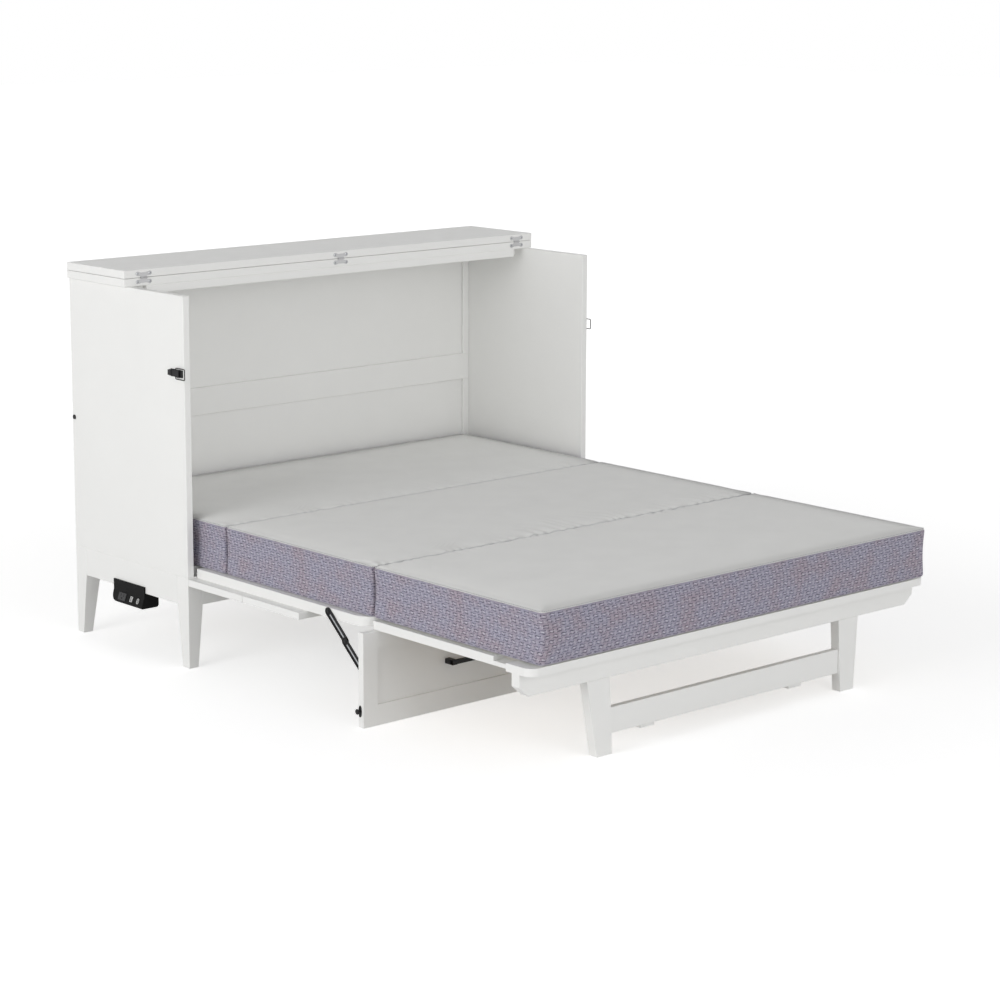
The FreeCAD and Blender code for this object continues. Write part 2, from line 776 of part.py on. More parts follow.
def make_faces():
    """The two boards under the middle frame, and their pulls."""
    rows = (("face_board_lower", (face_start_y - face_row, face_start_y)),
            ("face_board_middle", (face_end_y, face_end_y + face_row)))
    pulls = []
    for label, y in rows:
        make_face(label, y)
        middle = (y[0] + y[1]) / 2
        bar_y = (middle - s.pull_bar / 2, middle + s.pull_bar / 2)
        bar_z = (face_low_z - s.pull_reach, face_low_z - s.pull_reach + s.pull_bar)
        post_y = (middle - s.pull_post / 2, middle + s.pull_post / 2)
        post_z = (bar_z[1], face_low_z + s.face_recess)
        pulls += make_pulls(label + "_pull", lambda name, x: board(name, x, bar_y, bar_z),
                            lambda name, x: box(name, x, post_y, post_z))
    finish(group("face_pulls", pulls), "face_pulls")


# ---------------------------------------------------------------- support panel

def make_support_panel():
    """The top board of the front, which folds down to stand on the floor as a leg."""
    front = mid_foot_y - s.face_thickness
    panel = outline("support_plank", "YZ_Plane", [
        (front, 0), (mid_foot_y, 0), (mid_foot_y, support_top_z), (front, support_top_z),
    ], -half_cabinet, half_cabinet)
    rounded(panel, 3, (half_cabinet, mid_foot_y, support_top_z), (half_cabinet, front, support_top_z))
    recess = box("support_recess", (s.face_stile - half_cabinet, half_cabinet - s.face_stile),
                 (front - 5, front + s.face_recess),
                 (s.support_foot_rail, support_top_z - s.face_rail))
    half_notch = s.support_eye_length / 2 + 0.5
    notches = []
    eyes = []
    pins = []
    for n, middle in enumerate(three_across(s.support_hinge_spread)):
        x = (middle - half_notch, middle + half_notch)
        notches.append(box("support_notch_%d" % n, x, (support_pin_y - 4.6, mid_foot_y + 5),
                           (support_pin_z - 12.5, support_top_z + 5)))
        pins.append(rod("support_pin_%d" % n, "x", x[0], x[1], (support_pin_y, support_pin_z),
                        s.support_pin))
        half = s.support_eye_length / 2
        eye = fuse("support_eye_solid_%d" % n,
                   rod("support_eye_round_%d" % n, "x", middle - half, middle + half,
                       (support_pin_y, support_pin_z), s.support_eye),
                   box("support_tab_%d" % n, (middle - half, middle + half),
                       (support_pin_y, support_pin_y + 11), (frame_low_z - 3, frame_low_z)))
        hole = bore("support_bore_%d" % n, "x", x[0], x[1], (support_pin_y, support_pin_z),
                    s.support_pin)
        eyes.append(cut("support_eye_%d" % n, eye, hole))
    finish(cut("support_panel", panel, recess, *notches), "support_panel")
    finish(group("support_hinge_eyes", eyes), "support_hinge_eyes")
    finish(group("support_hinge_pins", pins), "support_hinge_pins")

    bar_z = (s.pull_height - s.pull_bar / 2, s.pull_height + s.pull_bar / 2)
    bar_y = (front - s.pull_reach, front - s.pull_reach + s.pull_bar)
    post_z = (s.pull_height - s.pull_post / 2, s.pull_height + s.pull_post / 2)
    pulls = make_pulls("support_pull", lambda name, x: board(name, x, bar_y, bar_z),
                       lambda name, x: box(name, x, (bar_y[1], front + s.face_recess), post_z))
    finish(group("support_pulls", pulls), "support_pulls")

    keepers = []
    stud_y = mid_foot_y - s.keeper_back
    plate_z = (s.keeper_height - s.keeper_plate_half, s.keeper_height + s.keeper_plate_half)
    for word, side in SIDES:
        plate = span(side, half_cabinet, half_cabinet + s.keeper_plate)
        stud = span(side, half_cabinet + s.keeper_plate, lid_half)
        keepers.append(fuse("keeper_" + word,
                            box("keeper_plate_" + word, plate, (stud_y - 10, stud_y + 4), plate_z),
                            rod("keeper_stud_" + word, "x", stud[0], stud[1],
                                (stud_y, s.keeper_height), s.keeper_radius)))
    finish(group("keeper_studs", keepers), "keeper_studs")


def strip(name, side, near, far, start, end, bores):
    """A flat link with round ends between two points (y, z), bored where it turns on a pin."""
    x = span(side, near, far)
    half = s.stay_width.value / 2
    run = Vector(0, (end[0] - start[0]).value, (end[1] - start[1]).value)
    link = doc.addObject("Part::Box", name + "_flat")
    bind(link, "Length", x[1] - x[0])
    bind(link, "Width", run.Length)
    bind(link, "Height", s.stay_width)
    tilt = Rotation(Vector(0, 1, 0), run)
    offset = tilt.multVec(Vector(0, 0, -half))
    place(link, x[0], start[0] + offset.y, start[1] + offset.z, tilt)
    ends = [disc("%s_end%d" % (name, n), "x", x[0], x[1], centre, s.stay_width / 2)
            for n, centre in enumerate((start, end))]
    link = fuse(name + "_solid", link, *ends)
    tools = [bore("%s_bore%d" % (name, n), "x", x[0] - 1, x[1] + 1, centre, s.stay_pin)
             for n, centre in enumerate(bores)]
    return cut(name, link, *tools) if tools else link


def make_stays():
    """A pair of folding stays that hold the support panel upright."""
    top = (mid_foot_y + s.stay_top_in, deck_z - s.stay_top_drop)
    low = (mid_foot_y + s.stay_low_in, support_pin_z - s.stay_low_drop)
    elbow = ((top[0] + low[0]) / 2, (top[1] + low[1]) / 2)
    upper_x = (mid_rail_outer + 1, mid_rail_outer + 1 + s.stay_strip)
    lower_x = (upper_x[1] + 1, upper_x[1] + 1 + s.stay_strip)
    uppers, lowers, brackets, pivots = [], [], [], []
    for word, side in SIDES:
        uppers.append(strip("stay_upper_" + word, side, upper_x[0], upper_x[1], top, elbow, [top]))
        boss = span(side, upper_x[1] + 0.3, lower_x[0])
        lowers.append(fuse("stay_lower_" + word,
                           strip("stay_low_strip_" + word, side, lower_x[0], lower_x[1], low, elbow,
                                 [low]),
                           rod("stay_boss_" + word, "x", boss[0], boss[1], elbow, s.stay_boss)))
        lug_x = span(side, mid_rail_outer + 0.5, lower_x[0] - 0.5)
        shank = span(side, lower_x[0] - 0.5, lower_x[1] + 0.3)
        head = span(side, lower_x[1] + 0.3, lower_x[1] + 1.3)
        brackets.append(fuse("stay_lug_" + word,
                             box("stay_plate_" + word, lug_x, (mid_foot_y, low[0] + 6.6),
                                 (low[1] - s.stay_plate_half, low[1] + s.stay_plate_half)),
                             rod("stay_shank_" + word, "x", shank[0], shank[1], low, s.stay_pin),
                             rod("stay_head_" + word, "x", head[0], head[1], low, s.stay_head)))
        shank = span(side, mid_rail_outer, upper_x[1] + 0.2)
        head = span(side, upper_x[1] + 0.2, upper_x[1] + 0.7)
        pivots.append(fuse("stay_pivot_" + word,
                           rod("stay_post_" + word, "x", shank[0], shank[1], top, s.stay_pin),
                           rod("stay_cap_" + word, "x", head[0], head[1], top, s.stay_head)))
    finish(group("stay_upper_links", uppers), "stay_upper_links")
    finish(group("stay_lower_links", lowers), "stay_lower_links")
    finish(group("stay_lugs", brackets), "stay_lugs")
    finish(group("stay_pivots", pivots), "stay_pivots")


# ---------------------------------------------------------------- foot frame

def make_foot_frame():
    """The frame past the cabinet's front, with its end board, which folds over the middle one."""
    inner = foot_rail_outer - s.foot_rail_width
    rail_top = deck_z - s.foot_rail_drop
    rail_low = rail_top - s.foot_rail_height
    board_y = (foot_y + s.end_board_inset, foot_y + s.end_board_inset + s.end_board_depth)
    notch_y = foot_y + s.foot_rail_cut
    rails = []
    for word, side in SIDES:
        rail = outline("foot_rail_" + word, "YZ_Plane", [
            (foot_head_y, rail_low),
            (foot_head_y, rail_top),
            (notch_y, rail_top),
            (notch_y, rail_top - s.foot_rail_height / 2),
            (board_y[1], rail_top - s.foot_rail_height / 2),
            (board_y[1], rail_low),
        ], *span(side, inner, foot_rail_outer))
        rails.append(rail)
    finish(group("foot_side_rails", rails), "foot_side_rails")
    x = (-inner, inner)
    cross = board("foot_head_rail", x, (foot_head_y - s.cross_rail_width, foot_head_y),
                  (rail_low, rail_top))
    finish(cross, "foot_head_rail")
    end_top = deck_z - s.end_board_top_drop
    half = inner_half - s.end_board_gap
    end = outline("foot_end_board", "XY_Plane", [
        (-half, board_y[0]), (half, board_y[0]), (half, board_y[1]), (-half, board_y[1]),
    ], end_top - s.end_board_height, end_top)
    middle_z = s.end_board_height / 2
    rounded(end, s.end_board_round, (-half, board_y[0], middle_z), (half, board_y[0], middle_z))
    finish(end, "foot_end_board")
    slats = slat_row("foot_slat", int(s.foot_slats.value), s.foot_slats, x,
                     (notch_y, foot_head_y - s.cross_rail_width),
                     (deck_z - s.foot_slat_thickness, deck_z))
    finish(group("foot_slats", slats), "foot_slats")


# ---------------------------------------------------------------- trestle

def make_trestle():
    """The folding stand under the foot: a rail, two tapered legs and a stretcher."""
    board_low_z = deck_z - s.end_board_top_drop - s.end_board_height
    rail_top = board_low_z - s.door_gap
    rail_low = rail_top - s.trestle_rail_height
    back = trestle_back_y
    front = back - s.trestle_thickness
    half = inner_half - s.trestle_gap
    rail = outline("trestle_top_rail", "XZ_Plane", [
        (s.trestle_chamfer_x - half, rail_low),
        (half - s.trestle_chamfer_x, rail_low),
        (half, rail_low + s.trestle_chamfer_z),
        (half, rail_top),
        (-half, rail_top),
        (-half, rail_low + s.trestle_chamfer_z),
    ], front, back)
    bevelled(rail, (1, 0, 0))
    finish(rail, "trestle_top_rail")
    legs = []
    for word, side in SIDES:
        inner = side * s.trestle_leg_in
        face = outline("trestle_face_" + word, "XZ_Plane", [
            (inner + side, 0),
            (inner + side + side * s.trestle_leg_foot, 0),
            (inner + side * s.trestle_leg_top, rail_low),
            (inner, rail_low),
        ], front - 40, back + 40)
        lean = outline("trestle_lean_" + word, "YZ_Plane", [
            (front - s.trestle_lean, 0),
            (back - s.trestle_lean, 0),
            (back, rail_low),
            (front, rail_low),
        ], *span(side, s.trestle_leg_in - 40, s.trestle_leg_in + s.trestle_leg_top + 40))
        legs.append(common("trestle_leg_" + word, face, lean))
    finish(group("trestle_legs", legs), "trestle_legs")
    # the stretcher is halfway through the legs' thickness, square to the floor
    middle_z = s.stretcher_low + s.stretcher_height / 2
    middle_y = front + s.trestle_thickness / 2 - s.trestle_lean * (rail_low - middle_z) / rail_low
    y = (middle_y - s.stretcher_thickness / 2, middle_y + s.stretcher_thickness / 2)
    reach = s.trestle_leg_in
    stretcher = board("trestle_stretcher", (-reach, reach), y,
                      (s.stretcher_low, s.stretcher_low + s.stretcher_height))
    finish(stretcher, "trestle_stretcher")
    blocks = []
    for word, side in SIDES:
        x = span(side, s.block_in, s.block_in + s.block_width)
        blocks.append(board("trestle_block_" + word, x, (y[1], y[1] + 18),
                            (s.stretcher_low - 6, s.stretcher_low + 40)))
    finish(group("trestle_blocks", blocks), "trestle_blocks")


# ---------------------------------------------------------------- latches

def bent_wire(name, points, radius, bend):
    """A wire bent in right angles; each bend is three short chords, and its section has eight sides."""
    spots = [Vector(*[size(length).value for length in point]) for point in points]
    path = [spots[0]]
    for before, corner, after in zip(spots, spots[1:], spots[2:]):
        to_before = (before - corner).normalize()
        to_after = (after - corner).normalize()
        centre = corner + (to_before + to_after) * bend
        for degrees in (0, 30, 60, 90):
            turn = math.radians(degrees)
            path.append(centre - to_after * bend * math.cos(turn) - to_before * bend * math.sin(turn))
    path.append(spots[-1])
    ring = []
    for degrees in range(0, 361, 45):
        turn = math.radians(degrees)
        ring.append(spots[0] + Vector(math.cos(turn), math.sin(turn), 0) * radius)
    section = Part.makePolygon(ring)
    wire = doc.addObject("Part::Feature", name)
    mitred = 1
    wire.Shape = Part.makePolygon(path).makePipeShell([section], True, False, mitred)
    return wire


def make_latches():
    """A lever latch near each side panel's front edge, with the wire bail that hooks a keeper."""
    half = s.latch_width / 2
    ear_low = half + s.latch_ear_gap
    ear_high = ear_low + s.latch_ear
    pin_y = front_y + s.latch_pin_in
    bail_pin_y = pin_y + s.bail_pin_in
    lever_end = pin_y + s.latch_lever_length
    bases = []
    for word, side in SIDES:
        pin_x = half_cabinet + s.latch_pin_out
        plate_x = span(side, half_cabinet, half_cabinet + s.latch_plate)
        ear_x = span(side, half_cabinet + s.latch_plate, half_cabinet + 8)
        ear_y = (pin_y - 5, pin_y + 5)
        pieces = [
            box("latch_plate_" + word, plate_x, (pin_y - 17, pin_y + 43),
                (latch_z - ear_high, latch_z + ear_high)),
            box("latch_ear_low_" + word, ear_x, ear_y, (latch_z - ear_high, latch_z - ear_low)),
            box("latch_ear_high_" + word, ear_x, ear_y, (latch_z + ear_low, latch_z + ear_high)),
            rod("latch_pin_" + word, "z", latch_z - ear_high, latch_z + ear_high,
                (side * pin_x, pin_y), s.latch_pin),
        ]
        bases.append(fuse("latch_base_" + word, *pieces))

        grip = outline("latch_grip_" + word, "YZ_Plane", [
            (pin_y, latch_z - half),
            (lever_end - 5, latch_z - half),
            (lever_end, latch_z - half + 4),
            (lever_end, latch_z + half - 4),
            (lever_end - 5, latch_z + half),
            (pin_y, latch_z + half),
        ], *span(side, pin_x - 2, pin_x + 1.5))
        knob = board("latch_thumb_" + word, span(side, pin_x + 1.5, pin_x + 3.5),
                     (lever_end - 18, lever_end - 1), (latch_z - half + 1, latch_z + half - 1), 0.8)
        barrel = rod("latch_barrel_" + word, "z", latch_z - half, latch_z + half,
                     (side * pin_x, pin_y), s.latch_barrel)
        hole = bore("latch_bore_" + word, "z", latch_z - half - 1, latch_z + half + 1,
                    (side * pin_x, pin_y), s.latch_pin)
        lever = fuse("latch_lever_solid_" + word, grip, knob, barrel)
        finish(cut("latch_lever_" + word, lever, hole), "latch_lever_" + word)

        wire_x = side * (half_cabinet + 6)
        front = front_y - s.bail_reach
        high, low = latch_z + s.bail_half_height, latch_z - s.bail_half_height
        points = [
            (wire_x, bail_pin_y, latch_z + half + 0.1),
            (wire_x, bail_pin_y, high),
            (wire_x, front, high),
            (wire_x, front, low),
            (wire_x, bail_pin_y, low),
            (wire_x, bail_pin_y, latch_z - half - 0.1),
        ]
        finish(bent_wire("latch_bail_" + word, points, s.bail_wire.value, s.bail_bend.value),
               "latch_bail_" + word)
    finish(group("latch_bases", bases), "latch_bases")


# ---------------------------------------------------------------- mattress

def rounded_loop(x, y, z, radii):
    """A rectangle with round corners, level at z; radii go round from the low-x, low-y corner."""
    (x0, x1), (y0, y1) = x, y
    corners = [(x0, y0), (x1, y0), (x1, y1), (x0, y1)]
    inward = [(1, 1), (-1, 1), (-1, -1), (1, -1)]
    edges = []
    marks = []
    for n, ((cx, cy), (ix, iy), radius) in enumerate(zip(corners, inward, radii)):
        along_x = Vector(cx + ix * radius, cy, z)
        along_y = Vector(cx, cy + iy * radius, z)
        crest = Vector(cx + ix * radius * (1 - math.sqrt(0.5)), cy + iy * radius * (1 - math.sqrt(0.5)), z)
        enter, leave = (along_y, along_x) if n % 2 == 0 else (along_x, along_y)
        marks.append((enter, crest, leave))
    for n, (enter, crest, leave) in enumerate(marks):
        edges.append(Part.Arc(enter, crest, leave).toShape())
        edges.append(Part.LineSegment(leave, marks[(n + 1) % 4][0]).toShape())
    return Part.Wire(edges)


# inset from the full outline at each height: three above the underside, the rest below the crown
MATTRESS_PROFILE = ((0, 12), (4, 4), (12, 0), (-75, 3), (-14, 0), (-5, 6), (0, 40))


def make_mattress():
    """Three foam sections; their sides draw in, their top edges are rolled and their tops crown."""
    half = s.mattress_width.value / 2
    low_z = (deck_z + s.mattress_rest_gap).value
    height = s.mattress_thickness.value
    outer = s.mattress_corner.value
    inner = outer / 2.6
    gap = s.seam_gap.value / 2
    sections = (
        ("mattress_head", seam_head_y.value + gap, head_y.value, (inner, inner, outer, outer)),
        ("mattress_middle", seam_foot_y.value + gap, seam_head_y.value - gap, (inner,) * 4),
        ("mattress_foot", foot_y.value, seam_foot_y.value - gap, (outer, outer, inner, inner)),
    )
    for label, y0, y1, radii in sections:
        loops = []
        for n, (rise, inset) in enumerate(MATTRESS_PROFILE):
            z = low_z + (rise if n < 3 else height + rise)
            x = (inset - half, half - inset)
            loops.append(rounded_loop(x, (y0 + inset, y1 - inset), z, [radius + inset * 0.4
                                                                       for radius in radii]))
        section = doc.addObject("Part::Feature", label)
        section.Shape = Part.makeLoft(loops, True, True)
        finish(section, label)


make_cabinet()
make_back_board()
make_top()
make_lid_hinges()
make_bolt_caps()
make_power_unit()
make_hinges()
make_mid_frame()
make_faces()
make_support_panel()
make_stays()
make_foot_frame()
make_trestle()
make_latches()
make_mattress()
doc.recompute()

for item in doc.Objects:
    if "Invalid" in item.State or "Error" in item.State:
        raise RuntimeError("%s failed to build: %s" % (item.Name, item.State))
for label, item in finished.items():
    if item.Shape.isNull() or not item.Shape.isValid() or not item.Shape.Solids:
        raise RuntimeError("%s is not a valid solid" % label)

os.makedirs("parts", exist_ok=True)
for label, item in finished.items():
    item.Shape.exportStep("parts/%s.step" % label)
whole = Part.makeCompound([item.Shape for item in finished.values()]).BoundBox
print("%d sub-parts, %.1f x %.1f x %.1f mm" % (len(finished), whole.XLength, whole.YLength,
                                             whole.ZLength))
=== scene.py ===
# %% [markdown]
# A cabinet bed, opened out for the night. The frame (every board, hinge and leg) is already made and is
# only loaded here. This script gives each surface its finish, shapes the small fittings, replaces the
# three plain foam blocks with sewn mattress sections, adds the screws and stitches, and sets up the
# floor, the light and the camera.

import json
import math

import bmesh
import bpy
import numpy as np
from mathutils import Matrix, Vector
from mathutils import noise


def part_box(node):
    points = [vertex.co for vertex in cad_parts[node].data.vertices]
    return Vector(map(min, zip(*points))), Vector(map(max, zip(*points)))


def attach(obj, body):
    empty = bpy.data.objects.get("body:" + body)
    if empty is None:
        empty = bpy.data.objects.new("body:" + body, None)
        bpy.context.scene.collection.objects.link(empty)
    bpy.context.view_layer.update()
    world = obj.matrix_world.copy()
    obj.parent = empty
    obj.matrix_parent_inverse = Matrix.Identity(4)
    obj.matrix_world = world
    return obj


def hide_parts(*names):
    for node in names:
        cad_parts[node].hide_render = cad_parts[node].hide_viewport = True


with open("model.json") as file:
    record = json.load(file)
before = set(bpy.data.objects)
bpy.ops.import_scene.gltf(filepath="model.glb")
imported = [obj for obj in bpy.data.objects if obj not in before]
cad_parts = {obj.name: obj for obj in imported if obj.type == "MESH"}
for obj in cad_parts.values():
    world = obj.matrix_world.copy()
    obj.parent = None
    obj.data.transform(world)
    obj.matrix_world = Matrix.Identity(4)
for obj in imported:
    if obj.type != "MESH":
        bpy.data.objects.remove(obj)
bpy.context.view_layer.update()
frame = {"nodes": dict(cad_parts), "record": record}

# %% [markdown]
# The camera comes first, because every later choice is judged through it. It stands at the foot end, a
# little above the mattress, with a long lens, as a furniture photographer would to keep the boards
# straight. Its place and turn were worked out from the measured edges of the furniture in the photograph.

# %% Camera
CAMERA_PLACE = Vector((-5.2482, -5.8496, 2.1013))
CAMERA_YAW = math.radians(40.964)
CAMERA_PITCH = math.radians(10.658)
LENS_MM, SENSOR_MM = 96.22, 36
CAMERA_SHIFT = 0.05


def new_object(name, data):
    """An object for a mesh, a lamp or a camera, put in the scene."""
    made = bpy.data.objects.new(name, data)
    bpy.context.scene.collection.objects.link(made)
    return made


camera_data = bpy.data.cameras.new("camera")
camera_data.lens = LENS_MM
camera_data.sensor_width = SENSOR_MM
camera_data.shift_x = CAMERA_SHIFT
camera_data.shift_y = -CAMERA_SHIFT
camera_data.clip_end = 100
camera = new_object("camera", camera_data)
aim = Vector((math.sin(CAMERA_YAW) * math.cos(CAMERA_PITCH),
              math.cos(CAMERA_YAW) * math.cos(CAMERA_PITCH), -math.sin(CAMERA_PITCH)))
camera.location = CAMERA_PLACE
camera.rotation_euler = aim.to_track_quat("-Z", "Y").to_euler()
bpy.context.scene.camera = camera
print("camera at", tuple(round(v, 3) for v in CAMERA_PLACE))

# %% [markdown]
# Materials in Blender are small graphs of nodes. These helpers keep the graphs short to write: one adds a
# node, one joins two sockets or sets a plain number, one feeds several sockets by their names, and one
# chains the arithmetic.


# %% Node helpers
def add_node(tree, kind, **settings):
    """A new node in a tree, with its settings."""
    node = tree.nodes.new(kind)
    for name, value in settings.items():
        setattr(node, name, value)
    return node


def feed(tree, socket, value):
    """Join a socket to another node's output, or set it to a plain value."""
    if isinstance(value, bpy.types.NodeSocket):
        tree.links.new(value, socket)
    else:
        socket.default_value = value


def feed_all(tree, node, **values):
    """Feed a node's sockets by name, with _ for a space; gives the node."""
    for label, value in values.items():
        feed(tree, node.inputs[label.replace("_", " ")], value)
    return node


def calc(tree, operation, *values):
    """One arithmetic step on sockets or numbers; gives the result's socket."""
    node = add_node(tree, "ShaderNodeMath", operation=operation)
    for socket, value in zip(node.inputs, values):
        feed(tree, socket, value)
    return node.outputs[0]


def blend_colours(tree, amount, first, second, mode="MIX"):
    """Two colours mixed by an amount from 0 to 1. The node keeps its colours on sockets 6 and 7."""
    node = add_node(tree, "ShaderNodeMix", data_type="RGBA", blend_type=mode)
    feed(tree, node.inputs["Factor"], amount)
    feed(tree, node.inputs[6], first)
    feed(tree, node.inputs[7], second)
    return node.outputs[2]


def spread(tree, value, low, high, to_low=0.0, to_high=1.0):
    """A value stretched from one range to another."""
    node = add_node(tree, "ShaderNodeMapRange")
    for socket, number in zip(node.inputs, (value, low, high, to_low, to_high)):
        feed(tree, socket, number)
    return node.outputs[0]


def noise_on(tree, place, scale, detail=2.0, roughness=0.5, **settings):
    """Cloudy noise, from 0 to 1, at a number of clouds per metre."""
    node = add_node(tree, "ShaderNodeTexNoise", **settings)
    feed_all(tree, node, Vector=place, Scale=scale, Detail=detail, Roughness=roughness)
    return node.outputs["Fac"]


def bump(tree, height, strength, distance):
    """A surface normal tilted by a height."""
    node = add_node(tree, "ShaderNodeBump")
    feed_all(tree, node, Height=height, Strength=strength, Distance=distance)
    return node.outputs["Normal"]


def split(tree, vector):
    """A vector's X, Y and Z, as sockets."""
    return feed_all(tree, add_node(tree, "ShaderNodeSeparateXYZ"), Vector=vector).outputs


def join(tree, x, y, z):
    """Three numbers or sockets as one vector."""
    return feed_all(tree, add_node(tree, "ShaderNodeCombineXYZ"), X=x, Y=y, Z=z).outputs[0]


def srgb(red, green, blue):
    """A colour given as a paint chart gives it, 0 to 255, turned to Blender's linear light."""
    def linear(v):
        v /= 255
        return v / 12.92 if v <= 0.04045 else ((v + 0.055) / 1.055) ** 2.4
    return (linear(red), linear(green), linear(blue), 1.0)


def new_group(name, inputs, outputs, kind_of_tree="ShaderNodeTree"):
    """An empty node group with named sockets: (name, kind, default) in, (name, kind) out."""
    group = bpy.data.node_groups.new(name, kind_of_tree)
    for label, kind, default in inputs:
        socket = group.interface.new_socket(label, in_out="INPUT", socket_type="NodeSocket" + kind)
        if default is not None:
            socket.default_value = default
    for label, kind in outputs:
        group.interface.new_socket(label, in_out="OUTPUT", socket_type="NodeSocket" + kind)
    return group, add_node(group, "NodeGroupInput"), add_node(group, "NodeGroupOutput")


def use_group(tree, group, **values):
    """Place a group in a material, with its own values; gives what comes out of it."""
    return feed_all(tree, add_node(tree, "ShaderNodeGroup", node_tree=group), **values).outputs


def new_material(name, **constants):
    """A material with one Principled shader, whose plain numbers are set on its own sockets."""
    material = bpy.data.materials.new(name)
    material.use_nodes = True
    tree = material.node_tree
    return material, tree, feed_all(tree, tree.nodes["Principled BSDF"], **constants)


def object_place(tree):
    """The point on the surface, in metres."""
    return add_node(tree, "ShaderNodeTexCoord").outputs["Object"]


def stretched_place(tree, *scale):
    """The point on the surface, with each axis scaled, so that a pattern is drawn out along it."""
    node = add_node(tree, "ShaderNodeMapping")
    return feed_all(tree, node, Vector=object_place(tree), Scale=scale).outputs["Vector"]


# %% [markdown]
# Sprayed paint, powder coating and moulded plastic are all one kind of surface: an even colour that is a
# touch blotchy over a hand's width, and a fine pebbled skin, called orange peel, that catches the light.
# One node group makes all of them, and each finish gives it its own colour, pebble size and gloss.

# %% The coated-skin group
PEEL_DEPTH = 0.0004

coated_skin, group_in, group_out = new_group(
    "coated_skin",
    [("Place", "Vector", None), ("Colour", "Color", (0.8, 0.8, 0.8, 1)),
     ("Blotch", "Float", 0.03), ("Pebbles per metre", "Float", 400.0),
     ("Peel", "Float", 0.1), ("Gloss low", "Float", 0.3), ("Gloss high", "Float", 0.45)],
    [("Colour", "Color"), ("Roughness", "Float"), ("Normal", "Vector")])
skin_in = group_in.outputs
clouds = noise_on(coated_skin, skin_in["Place"], 7.0, detail=3.0, roughness=0.6)
shade = calc(coated_skin, "SUBTRACT", 1.0, calc(coated_skin, "MULTIPLY", skin_in["Blotch"], clouds))
tinted = blend_colours(coated_skin, 1.0, skin_in["Colour"], shade, "MULTIPLY")
handled = noise_on(coated_skin, skin_in["Place"], 19.0, detail=4.0, roughness=0.62)
gloss = spread(coated_skin, handled, 0.3, 0.7, skin_in["Gloss low"], skin_in["Gloss high"])
pebbles = noise_on(coated_skin, skin_in["Place"], skin_in["Pebbles per metre"], detail=1.5)
peel = bump(coated_skin, pebbles, skin_in["Peel"], PEEL_DEPTH)
feed_all(coated_skin, group_out, Colour=tinted, Roughness=gloss, Normal=peel)
print("coated_skin group has", len(coated_skin.nodes), "nodes")


# %% Coated finishes
def coated(name, colour, blotch, pebbles, peel, gloss, **constants):
    """A finish made from the coated-skin group; gloss is its lowest and highest roughness."""
    material, tree, shader = new_material(name, **constants)
    skin = use_group(tree, coated_skin, Place=object_place(tree), Colour=colour, Blotch=blotch,
                     Pebbles_per_metre=pebbles, Peel=peel, Gloss_low=gloss[0], Gloss_high=gloss[1])
    feed_all(tree, shader, Base_Color=skin["Colour"], Roughness=skin["Roughness"],
             Normal=skin["Normal"])
    return material


white_paint = coated("white_paint", srgb(243, 243, 241), 0.035, 420.0, 0.16, (0.36, 0.48))
black_metal = coated("black_metal", srgb(20, 20, 22), 0.25, 1400.0, 0.5, (0.42, 0.58),
                     Specular_IOR_Level=0.3)
pale_metal = coated("pale_metal", srgb(190, 190, 191), 0.12, 2000.0, 0.25, (0.28, 0.4), Metallic=0.65)
black_plastic = coated("black_plastic", srgb(13, 13, 14), 0.2, 2600.0, 0.6, (0.52, 0.62),
                       Specular_IOR_Level=0.12)
outlet_plastic = coated("outlet_plastic", srgb(38, 38, 40), 0.15, 2200.0, 0.4, (0.38, 0.5))
port_plastic = coated("port_plastic", srgb(214, 214, 214), 0.1, 900.0, 0.1, (0.25, 0.35))
# painted shade: the near-black of the screws' raised cross, standing for the shade inside a cross recess
painted_recess_shade = coated("painted_recess_shade", srgb(12, 12, 13), 0.2, 1800.0, 0.3, (0.3, 0.45))
print("seven coated finishes made")

# %% [markdown]
# The slats are sanded pine. A board's grain is long streaks along it, from the growth rings that the saw
# cut through, so the noise is squeezed across the board and drawn out along it. Slats run across the bed;
# the floor's bearers run front to back, so the same wood is made twice with its streaks turned.

# %% Bare wood
GRAIN_STRETCH = 0.045


def pine(name, along):
    """Sanded pine whose grain runs along x (0) or y (1)."""
    material, tree, shader = new_material(name, IOR=1.5)
    drawn = stretched_place(tree, *(GRAIN_STRETCH if axis == along else 1.0 for axis in range(3)))
    rings = noise_on(tree, drawn, 60.0, detail=3.0, roughness=0.55)
    fibres = noise_on(tree, drawn, 900.0, roughness=0.6)
    streaks = calc(tree, "PINGPONG", calc(tree, "MULTIPLY", rings, 7.0), 0.5)
    light, dark = srgb(230, 207, 170), srgb(206, 173, 128)
    base = blend_colours(tree, spread(tree, streaks, 0.1, 0.5), light, dark)
    wood = blend_colours(tree, calc(tree, "MULTIPLY", fibres, 0.25), base, srgb(178, 140, 96))
    feed_all(tree, shader, Base_Color=wood, Roughness=spread(tree, fibres, 0.2, 0.8, 0.55, 0.75),
             Normal=bump(tree, fibres, 0.25, 0.0005))
    return material


pine_across = pine("bare_wood", 0)
pine_along = pine("bare_wood_along", 1)
print("pine made twice, with its grain across the bed and along it")

# %% [markdown]
# The hidden hinges are zinc-plated steel: bright, a little cloudy where the zinc crystals differ, and
# with fine lines along them from the rolling mill.

# %% Zinc-plated steel
steel, tree, shader = new_material("steel", Metallic=1.0)
rolled = noise_on(tree, stretched_place(tree, 0.05, 1.0, 1.0), 2400.0)
crystals = feed_all(tree, add_node(tree, "ShaderNodeTexVoronoi"), Vector=object_place(tree), Scale=160.0)
tone = spread(tree, crystals.outputs["Distance"], 0.0, 0.8)
zinc = blend_colours(tree, tone, srgb(190, 192, 196), srgb(168, 170, 172))
feed_all(tree, shader, Base_Color=zinc, Roughness=spread(tree, rolled, 0.2, 0.8, 0.24, 0.42),
         Normal=bump(tree, rolled, 0.15, 0.0002))
print("steel made")

